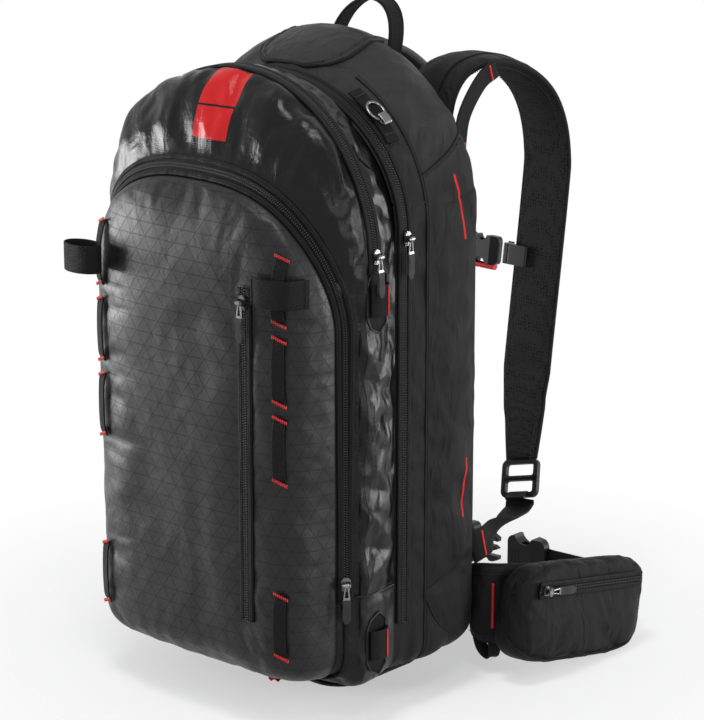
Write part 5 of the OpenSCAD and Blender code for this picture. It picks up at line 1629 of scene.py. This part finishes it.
def load_lifters():
    """Short straps from the top of each shoulder strap to the bag."""
    x = STRAP_X + STRAP_W / 2 + WEBBING_T / 2 + 0.3
    first = Y_PAD + WEBBING_T / 2 + 7.6
    bends = np.array([[x + 1, first, ARCH_Z + 66], [x + 0.6, STRAP_ROOT_Y + 10, ARCH_Z + 100],
                      [x, STRAP_ROOT_Y + 34, ARCH_Z + 128], [x, STRAP_ROOT_Y + 56, ARCH_Z + 138]])
    parts = []
    for side in (-1, 1):
        path = curve_through(bends * [side, 1, 1], 3)
        parts.append(band("lifters", path, (0, -0.8, 1), 18, WEBBING_T))
        for k in (3, -4):
            way = np.cross(tangents(path)[k], RIGHT)
            tack = path[k] + [side * 1.3, 0, 0]
            parts.append(bar_tack("lifters", tack, way, (side, 0, 0), thread_red, 14))
    return sew("lifters", parts, "webbing", "load_lifters")


# Hip belt

WING_HINGE = np.array([HALF_W - 14, Y_PAD + 7.5])
WING_H = 80.0
WING_T = 14.0
# X and Y from the hinge, Z, and share of the wing's height along its middle
WING_STEPS = np.array([(-7, 0, 44, 0.9), (4, 1, 44, 0.97), (16, 12, 42, 1), (27, 36, 38, 1),
                       (36, 74, 33, 0.97), (40, 120, 26, 0.9), (38, 165, 19, 0.82), (30, 190, 15, 0.6)])
WING_KNOTS = np.column_stack([WING_STEPS[:, :2] + WING_HINGE, WING_STEPS[:, 2]])
WING_TIP = WING_KNOTS[-1]
# Y from the hinge and the wing's X under the hip pocket
HIP_REST = np.array([(-20, 19), (12, 22), (36, 31.5), (74, 39), (120, 42), (165, 41), (190, 36)])
HIP_SLOPE = -0.17
HIP_DIR = unit([0.04, 1, HIP_SLOPE])
HIP_UP = unit([0, -HIP_SLOPE, 1])
HIP_OUT = np.cross(HIP_DIR, HIP_UP)
HIP_ORIGIN = np.array([WING_HINGE[0] + 62, WING_HINGE[1] - 12, 43])
HIP_L = 190.0
HIP_H = 100.0
HIP_ZIP_V = HIP_H * 0.27
HIP_ZIP_FROM = HIP_L * 0.1
HIP_ZIP_TO = HIP_L * 0.9


def hip_wing(side, word):
    """Padded wing with spacer mesh inside, corded edges, a red tack and a webbing loop under it."""
    knots = WING_KNOTS * [side, 1, 1]
    path = curve_through(knots, 5)
    along, marks = arc_length(path), arc_length(knots)
    share = np.interp(along / along[-1], marks / marks[-1], WING_STEPS[:, 3])
    name = "wing_" + word
    half = WING_H / 2
    profile = round_profile(half - 1, WING_T / 2 - 0.5, 44, 3.6)
    cord = round_profile(2.0, 2.8, 10)
    places = (half - 1.4, half - 8, WING_T / 2 - 0.3)
    parts = padded_strip(name, path, UP * side, share, profile, (mesh_cloth, cloth_plain), cord, places)
    out = along_frame(path, UP * side)[1]
    k = int(0.1 * len(path))
    parts.append(bar_tack(name, path[k] + out[k] * (WING_T / 2 + 0.2), UP, out[k], thread_red, 44, 3.0))
    foot = knots[1] - [0, 0, WING_H / 2]
    thick = WING_T / 2
    bends = np.array([[thick + 1.3, 4, 9], [thick + 1.5, 7, -8], [4, 8, -16], [2 - thick, 5, -8],
                      [-thick - 1.3, 2, 9]])
    loop = curve_through(foot + bends * [side, 1, 1], 2)
    parts.append(band(name, loop, (0.5 * side, 0.86, 0), 12, WEBBING_T))
    wing = join(name, parts)
    return dress(wing, "hip_" + word, "foam", "hip_wing_" + word)


def hip_depth(u):
    """Stand-off of the hip pocket's inner face from its outer face at distance u along it."""
    at = HIP_ORIGIN + HIP_DIR * u
    wing = np.interp(at[1] - WING_HINGE[1], *HIP_REST.T)
    return at[0] - WING_HINGE[0] - WING_T / 2 - wing


def hip_round(f, n, p):
    """1 over the middle of the hip pocket, falling to 0 at its ends, f = 0 and f = 1."""
    return (1 - abs(2 * f - 1) ** n) ** p


# Cross section of the hip pocket: share of its half height, and of its depth from its outer face
HIP_SECTION = ((-1, 0.9), (-0.97, 0.5), (-0.8, 0.1), (-0.45, 0), (0.74, 0), (0.92, 0.1), (1, 0.45),
               (0.98, 0.9), (0.8, 1), (-0.8, 1), (-1, 0.9))


# Place of the hip pocket's corded seams: share of its half height, and of its depth from the front
HIP_SEAM = (0.88, 0.16)


def hip_pocket():
    """Zipped pocket on the right wing, with corded seams round its outer face."""
    section = resample(HIP_SECTION, 57)[:-1]
    rows, seam_lines = [], {-1: [], 1: []}
    seam_up, seam_in = HIP_SEAM
    for f in np.linspace(0.012, 0.988, 44):
        u = f * HIP_L
        d = hip_depth(u)
        h = HIP_H / 2 * hip_round(f, 4, 0.3)
        sunk = d * 0.8 * (1 - hip_round(f, 10, 0.5))
        at = HIP_ORIGIN + HIP_DIR * u
        inward = np.outer(mix(sunk, d, section[:, 1]), HIP_OUT)
        rows.append(at + np.outer(h * section[:, 0], HIP_UP) - inward)
        for edge, line in seam_lines.items():
            line.append(at + HIP_UP * h * seam_up * edge - HIP_OUT * mix(sunk, d, seam_in))
    grid = np.array(rows)
    points = grid.reshape(-1, 3)
    uv = np.stack([points @ HIP_DIR, points @ HIP_UP], axis=1) * MM
    cloth = grid_object("hip_pocket_cloth", grid, cloth_hip, uv, caps=True)
    face_outwards(cloth, HIP_ORIGIN + HIP_DIR * HIP_L / 2 - HIP_OUT * 12)
    deep = np.tile(section[:, 1] > 0.6, len(rows))
    row = np.repeat(np.arange(len(rows)), len(section))
    v = (pack_points(cloth) - HIP_ORIGIN) @ HIP_UP
    zip_line = (np.abs(v - HIP_ZIP_V) < ZIP_W / 2 + 2) & np.tile(section[:, 1] < 0.3, len(rows))
    held = deep | zip_line | (row < 2) | (row > len(rows) - 3)
    fold(cloth, held, [(44, 2.2, (1, 1.6, 1), 0.4), (18, 0.8, (1, 1, 1), 0.7)])
    settle(cloth, held, 0.015, 6, out=5, sink=3)
    subdivide(cloth)
    cords = []
    for line in seam_lines.values():
        path = curve_through(np.array(line)[::3], 3)
        cords.append(sweep("hip_pocket_cord", path, HIP_OUT, round_profile(1.4, 1.4, 8), webbing))
    dress(cloth, "hip_right", "woven_fabric", "hip_pocket")
    return sew("hip_pocket_cord", cords, "webbing", body="hip_right")


def hip_webbing(side, word, end):
    """Belt webbing from the wing's tip to the buckle."""
    tip = WING_TIP
    bends = np.array([tip + [-0.4, 1.4, 0], tip + [-14, 11, -2], tip + [-50, 16, -4],
                      [end + 12, tip[1] + 17, tip[2] - 6], [end, tip[1] + 17, tip[2] - 6]]) * [side, 1, 1]
    path = curve_through(bends, 3)
    parts = [band("belt_" + word, path, UP, 30, WEBBING_T)]
    t = tangents(path)
    for k in (6, 10):
        out = unit(np.cross(t[k], UP)) * -side
        parts.append(bar_tack("belt_" + word, path[k] - out * 1.3, UP, -out, thread_black, 24))
    return sew("belt_" + word, parts, "webbing", "hip_webbing_" + word, body="hip_" + word)


# Trigger and sternum strap

CABLE_R = 3.0
# X and Z of the hole in the back panel for the cable
PORT = (-(STRAP_X - STRAP_W / 2 - 9.5), ARCH_Z + 62)
GAS_X = -96.5
GAS_Y = Y_SHEET - 48
LEVER_Z = 350.5
LEVER_ARM = 20.0
LEVER_TURN = math.radians(35)
SLEEVE_FROM = 20.0
SLEEVE_L = 66.0
SLEEVE_T = 16.0
SLEEVE_W = 26.0
SLEEVE_BORE = 4.4
STRAP_FACE = STRAP_T / 2 + 0.3
STRAP_IN = np.cross(RIGHT, STRAP_DOWN)
TRIGGER_TOP = np.array([-(STRAP_X - 10), STRAP_TOP[1], STRAP_TOP[2]])


def handle_sleeve():
    """Cloth pocket for the trigger's stem, open at its lower end."""
    bore = round_profile(SLEEVE_BORE, SLEEVE_BORE, 32)
    skin = round_profile(SLEEVE_W / 2, SLEEVE_T / 2, 32, 4.5)
    end = SLEEVE_L
    middle = TRIGGER_TOP + STRAP_IN * (STRAP_FACE + SLEEVE_T / 2)
    rings = ((bore, 1, 0), (skin, 0.8, 0), (skin, 0.97, 1.5), (skin, 1, 20), (skin, 1, end - 20),
             (skin, 0.97, end - 1.5), (skin, 0.8, end), (bore, 1, end), (bore, 1, end / 2), (bore, 1, 0))
    rows = []
    for ring, share, along in rings:
        at = middle + STRAP_DOWN * (SLEEVE_FROM + along)
        rows.append(at + np.outer(ring[:, 0] * share, RIGHT) + np.outer(ring[:, 1] * share, STRAP_IN))
    cloth = grid_object("sleeve_cloth", np.array(rows), cloth_plain, (0, 2))
    face_outwards(cloth, middle + STRAP_DOWN * (SLEEVE_FROM + end / 2))
    parts = [cloth]
    for along in (5, end - 6):
        across = middle + STRAP_DOWN * (SLEEVE_FROM + along) + STRAP_IN * (SLEEVE_T / 2 + 0.1)
        parts.append(bar_tack("sleeve_tack", across, RIGHT, STRAP_IN, thread_red, 20))
    return sew("sleeve_cloth", parts, "woven_fabric", "handle_sleeve")


def trigger_cable():
    """Cable housing from the sleeve over the left shoulder, into the bag and down to the release lever."""
    edge = STRAP_W / 2 + CABLE_R + 0.9
    inner = np.cross(RIGHT, tangents(STRAP_KNOTS))
    beside = [14, edge - 7] + [edge] * (len(STRAP_KNOTS) - 4)
    raised = [12, 11, 8] + [0] * (len(STRAP_KNOTS) - 5)
    path = [TRIGGER_TOP + STRAP_DOWN * (SLEEVE_FROM - 0.3) + STRAP_IN * (STRAP_FACE + SLEEVE_T / 2)]
    for knot, way, x, up in zip(STRAP_KNOTS[::-1], inner[::-1], beside, raised):
        path.append(knot * [-1, 1, 1] + [x, 0, 0] + way * up)
    x, z = PORT
    path += [[x, Y_PAD + 12, z + 22], [x, Y_PAD + 7, z], [x, Y_SHEET - 8, z]]
    path += [[x - 16, Y_SHEET - 18, z - 10], [GAS_X, Y_SHEET - 26, z - 24]]
    stop = np.array([GAS_X - 32, GAS_Y, LEVER_Z + LEVER_ARM * math.sin(LEVER_TURN) + 6])
    path += [stop + [0, 8, 56], stop + [0, 0, 16], stop]
    line = curve_through(path, 3)
    t = tangents(line)
    across = np.where((np.abs(t[:, 0]) > 0.8)[:, None], UP, RIGHT)
    cable = sweep("cable_housing", line, across, round_profile(CABLE_R, CABLE_R, 12), rubber)
    return dress(cable, "pack", "rubber", "trigger_cable")


STERNUM_W = 20.0
STERNUM_DOWN = STRAP_DOWN * 62
STERNUM_INNER = STRAP_X - STRAP_W / 2 - 8.6
BUCKLE_X = 19.0
BUCKLE_L = 34.0
WEB_RISE = 3.4


def sternum_webbing(word, start, end, rise):
    """Webbing of the sternum strap between two X places on the straps."""
    middle = STRAP_TOP * [0, 1, 1] + STERNUM_DOWN + STRAP_IN * (STRAP_FACE - rise)
    path = middle + np.outer(np.linspace(start, end, 20), RIGHT)
    obj = band("sternum_" + word, path, STRAP_DOWN, STERNUM_W, WEBBING_T)
    return dress(obj, "sternum_" + word, "webbing", "sternum_strap_" + word)


# Inside the bag

def folded_airbag():
    """Airbag folded into its chamber: rows of folds under the cover."""
    rows = []
    for y in np.linspace(Y_MAIN + 8, Y_MAIN + MAIN_D - 8, 40):
        step = main_step(y)
        w = HALF_W + step[1] - 8
        top = ARCH_Z + HALF_W + min(0, step[2]) - 12
        xs = np.linspace(0.72 * w, -0.72 * w, 60)
        crest = MAIN_ZC + (top - MAIN_ZC) * np.sqrt(1 - (xs / w) ** 2)
        bottom = floor_z(xs) + 8
        folds = 2.5 * np.sin(xs / 9) * np.sin(y / 7)
        upper = np.stack([xs, np.maximum(crest - 3 + folds, bottom + 1)], axis=1)
        lower = np.stack([xs, bottom], axis=1)[::-1]
        rows.append(at_depth(np.concatenate([upper, lower]), y))
    obj = grid_object("folded_airbag", np.array(rows), airbag_nylon, (0, 1), caps=True)
    face_outwards(obj, (0, 55, 510))
    return dress(obj, "pack", "airbag_nylon", "airbag")


def divider_cloth():
    """Sheet between the main and the tool compartments."""
    outline = half_outline(HALF_W - 8, ARCH_Z, ARCH_Z + HALF_W - 14, BASE_Z + 5, 2, PANEL_COUNTS)
    ring = whole_outline(outline)
    obj = cushion("divider_cloth", ring, [(0, 0.0)], lambda x, z: 0.0, (150, 400), cloth_plain)
    return dress(obj, "pack", "woven_fabric", "divider")


# CAD nodes that show as they are, each with its finish

HARD_PARTS = {
    sheet_plastic: ("frame_sheet", "cylinder_bracket"),
    aluminium: ("frame_stays", "gas_cylinder", "inflation_head"),
    steel: ("release_lever", "firing_pin", "pocket_slider", "tool_slider", "main_slider", "slash_slider",
            "hip_slider"),
    rubber: ("inflation_hose",),
    plastic: ("ladder_locks", "sternum_slider_right", "sternum_slider_left", "sternum_buckle_male",
              "hip_buckle_female", "hip_buckle_male"),
    plastic_red: ("trigger_handle",),
}
WHISTLE_Z = frame_z((STRAP_TOP + STERNUM_DOWN)[2]) - 0.013
# Stand-off of the pulls' pins from their zips, and the length of wire before the rubber tab
PIN_LIFT = 7.5
WIRE_L = 13.0
# Place of each slider: angle on the arch, height, drop from the zip's upper bend or end, and run along it
TOOL_SLIDER_A = 2.5
POCKET_SLIDER_Z = 114.0
MAIN_SLIDER_DROP = 4
MAIN_PIN_OUT = 0.9
SLASH_SLIDER_DROP = 12
HIP_SLIDER_RUN = 9
EDGE_BEVEL = 0.4


def finish_node(name, material):
    """Gives a CAD node its material and softens its edges."""
    node = frame["nodes"][name]
    node.data.materials.clear()
    node.data.materials.append(material)
    bevel = node.modifiers.new("soft_edges", "BEVEL")
    bevel.width = EDGE_BEVEL * MM
    bevel.segments = 2
    bevel.limit_method = "ANGLE"
    bevel.angle_limit = math.radians(35)


def hard_parts():
    """Finishes of the nodes that show as they are, with each pull's wire and tab parted at its pin."""
    finish_node("sternum_buckle_female", buckle_look())
    for material, names in HARD_PARTS.items():
        for name in names:
            finish_node(name, material)
    # A zip ring's first value is its half width and its sixth the y at its sides
    outer, inner = (np.array([ring[0], ring[5], 0]) for ring in (ZIP_OUTER, ZIP_INNER))
    zip_out = np.cross(unit(outer - inner), UP)
    tool_a = math.radians(TOOL_SLIDER_A)
    tool_out = np.array([math.cos(tool_a), 0, math.sin(tool_a)])
    main_w = main_size(main_step(MAIN_ZIP_Y))[0]
    hip_slider = HIP_ORIGIN + HIP_DIR * (HIP_ZIP_FROM + HIP_SLIDER_RUN) + HIP_UP * HIP_ZIP_V
    pins = {
        "pocket_pull": ((outer + inner) / 2 + UP * POCKET_SLIDER_Z + zip_out * PIN_LIFT, -UP),
        "tool_pull": (np.array([0, -RIDGE_D, ARCH_Z]) + tool_out * (HALF_W + PIN_LIFT),
                      np.cross(tool_out, -TO_WEARER)),
        "main_pull": (np.array([main_w + PIN_LIFT + MAIN_PIN_OUT, MAIN_ZIP_Y, MAIN_ZC - MAIN_SLIDER_DROP]),
                      -UP),
        "slash_pull": (np.array([SLASH_X, FRONT_Y - PIN_LIFT, SLASH_Z1 - SLASH_SLIDER_DROP]), -UP),
        "hip_pull": (hip_slider + HIP_OUT * PIN_LIFT, HIP_DIR),
    }
    for name, (pin, toward) in pins.items():
        finish_node(name, pull_look(pin, toward, WIRE_L))


tool_shell()
pocket_shell()
main_shell("side_panels", main_side, cloth_side, "main_bag", 0.014, side_seams)
main_shell("airbag_cover_cloth", main_top, cloth_cover, "airbag_cover", 0.010, cover_seams)
base_trim()
foot_seams()
bag_zips()
daisy_chains()
axe_loops()
ski_loops()
hook_strap()
airbag_flap()
carry_handle()
back()
shoulder_strap(1, "right")
shoulder_strap(-1, "left")
lower_webbing()
load_lifters()
hip_wing(1, "right")
hip_wing(-1, "left")
hip_pocket()
hip_webbing(1, "right", 60)
hip_webbing(-1, "left", 46)
handle_sleeve()
trigger_cable()
sternum_webbing("right", BUCKLE_X + BUCKLE_L / 2 + 0.3, STERNUM_INNER, 0)
sternum_webbing("left", -STERNUM_INNER, BUCKLE_X - BUCKLE_L / 2 - 3, WEB_RISE)
folded_airbag()
divider_cloth()
hard_parts()


# Stage, camera and light

FLOOR_Z = cad_box[0][2] - 0.0006
CAMERA_AT = Vector((1.7807, -2.0018, 0.9247))
CAMERA_WAY = Vector((-0.6445, 0.7158, -0.2689))
CAMERA_LENS = 145
SENSOR = 36
AIM = Vector((0.0, -0.06, 0.22))
FLOOR_HALF = 1.6
# Name, place, size across and up, and power of each lamp
LAMPS = (
    ("left", (-2.3, -1.1, 0.2), (1.1, 0.8), 56),
    ("right", (1.9, 1.6, 0.35), (0.5, 1.2), 38),
    ("top", (0.4, -0.9, 2.5), (0.6, 0.6), 28),
    ("edge", (2.1, -0.45, 0.25), (0.35, 1.0), 12),
    ("shoulder", (1.3, -1.1, 1.75), (0.3, 0.3), 6),
)


def look_along(obj, at, way):
    """Puts a lamp or camera at a place, looking along a direction."""
    obj.location = at
    obj.rotation_euler = way.to_track_quat("-Z", "Y").to_euler()


def floor():
    """Pale floor that fades into the white background away from the pack."""
    mesh = bpy.data.meshes.new("floor")
    corners = [(x * FLOOR_HALF, y * FLOOR_HALF, FLOOR_Z) for x, y in ((-1, -1), (1, -1), (1, 1), (-1, 1))]
    mesh.from_pydata(corners, [], [(0, 1, 2, 3)])
    obj = add_object("floor", mesh)
    look = Look("pale_floor", (0.9, 0.9, 0.9), 0.9, Specular_IOR_Level=0.0)
    x, y, _ = look.space()
    far = look.math("SQRT", look.plus(look.math("POWER", x, 2.0), look.math("POWER", y, 2.0)))
    fade = look.over(look.minus(far, 0.12), 0.45, clamp=True)
    look.set("Alpha", look.scaled(fade, 0.55, 0.0))
    mesh.materials.append(look.material)


def lamp(name, at, size, power):
    """Rectangular lamp that looks at the pack."""
    light = bpy.data.lights.new(name, "AREA")
    light.shape = "RECTANGLE"
    light.size, light.size_y = size
    light.energy = power
    look_along(add_object(name, light), Vector(at), AIM - Vector(at))


def world():
    """White behind the pack for the camera and for reflections, and a soft grey surround for the rest."""
    surround = bpy.data.worlds.new("studio")
    surround.use_nodes = True
    nodes, links = surround.node_tree.nodes, surround.node_tree.links
    soft = nodes["Background"]
    soft.inputs["Color"].default_value = (0.9, 0.92, 0.95, 1)
    soft.inputs["Strength"].default_value = 0.32
    white = nodes.new("ShaderNodeBackground")
    white.inputs["Color"].default_value = (1, 1, 1, 1)
    path = nodes.new("ShaderNodeLightPath")
    direct = path.outputs["Is Camera Ray"]
    for kind in ("Is Glossy Ray", "Is Transmission Ray"):
        either = nodes.new("ShaderNodeMath")
        either.operation = "MAXIMUM"
        links.new(direct, either.inputs[0])
        links.new(path.outputs[kind], either.inputs[1])
        direct = either.outputs[0]
    seen = nodes.new("ShaderNodeMixShader")
    links.new(direct, seen.inputs[0])
    links.new(soft.outputs[0], seen.inputs[1])
    links.new(white.outputs[0], seen.inputs[2])
    links.new(seen.outputs[0], nodes["World Output"].inputs[0])
    bpy.context.scene.world = surround


def camera():
    """Camera fitted to the photo."""
    lens = bpy.data.cameras.new("camera")
    lens.lens = CAMERA_LENS
    lens.sensor_width = SENSOR
    obj = add_object("camera", lens)
    look_along(obj, CAMERA_AT, CAMERA_WAY)
    bpy.context.scene.camera = obj


floor()
world()
for values in LAMPS:
    lamp(*values)
camera()
bpy.context.scene.view_settings.view_transform = "Standard"
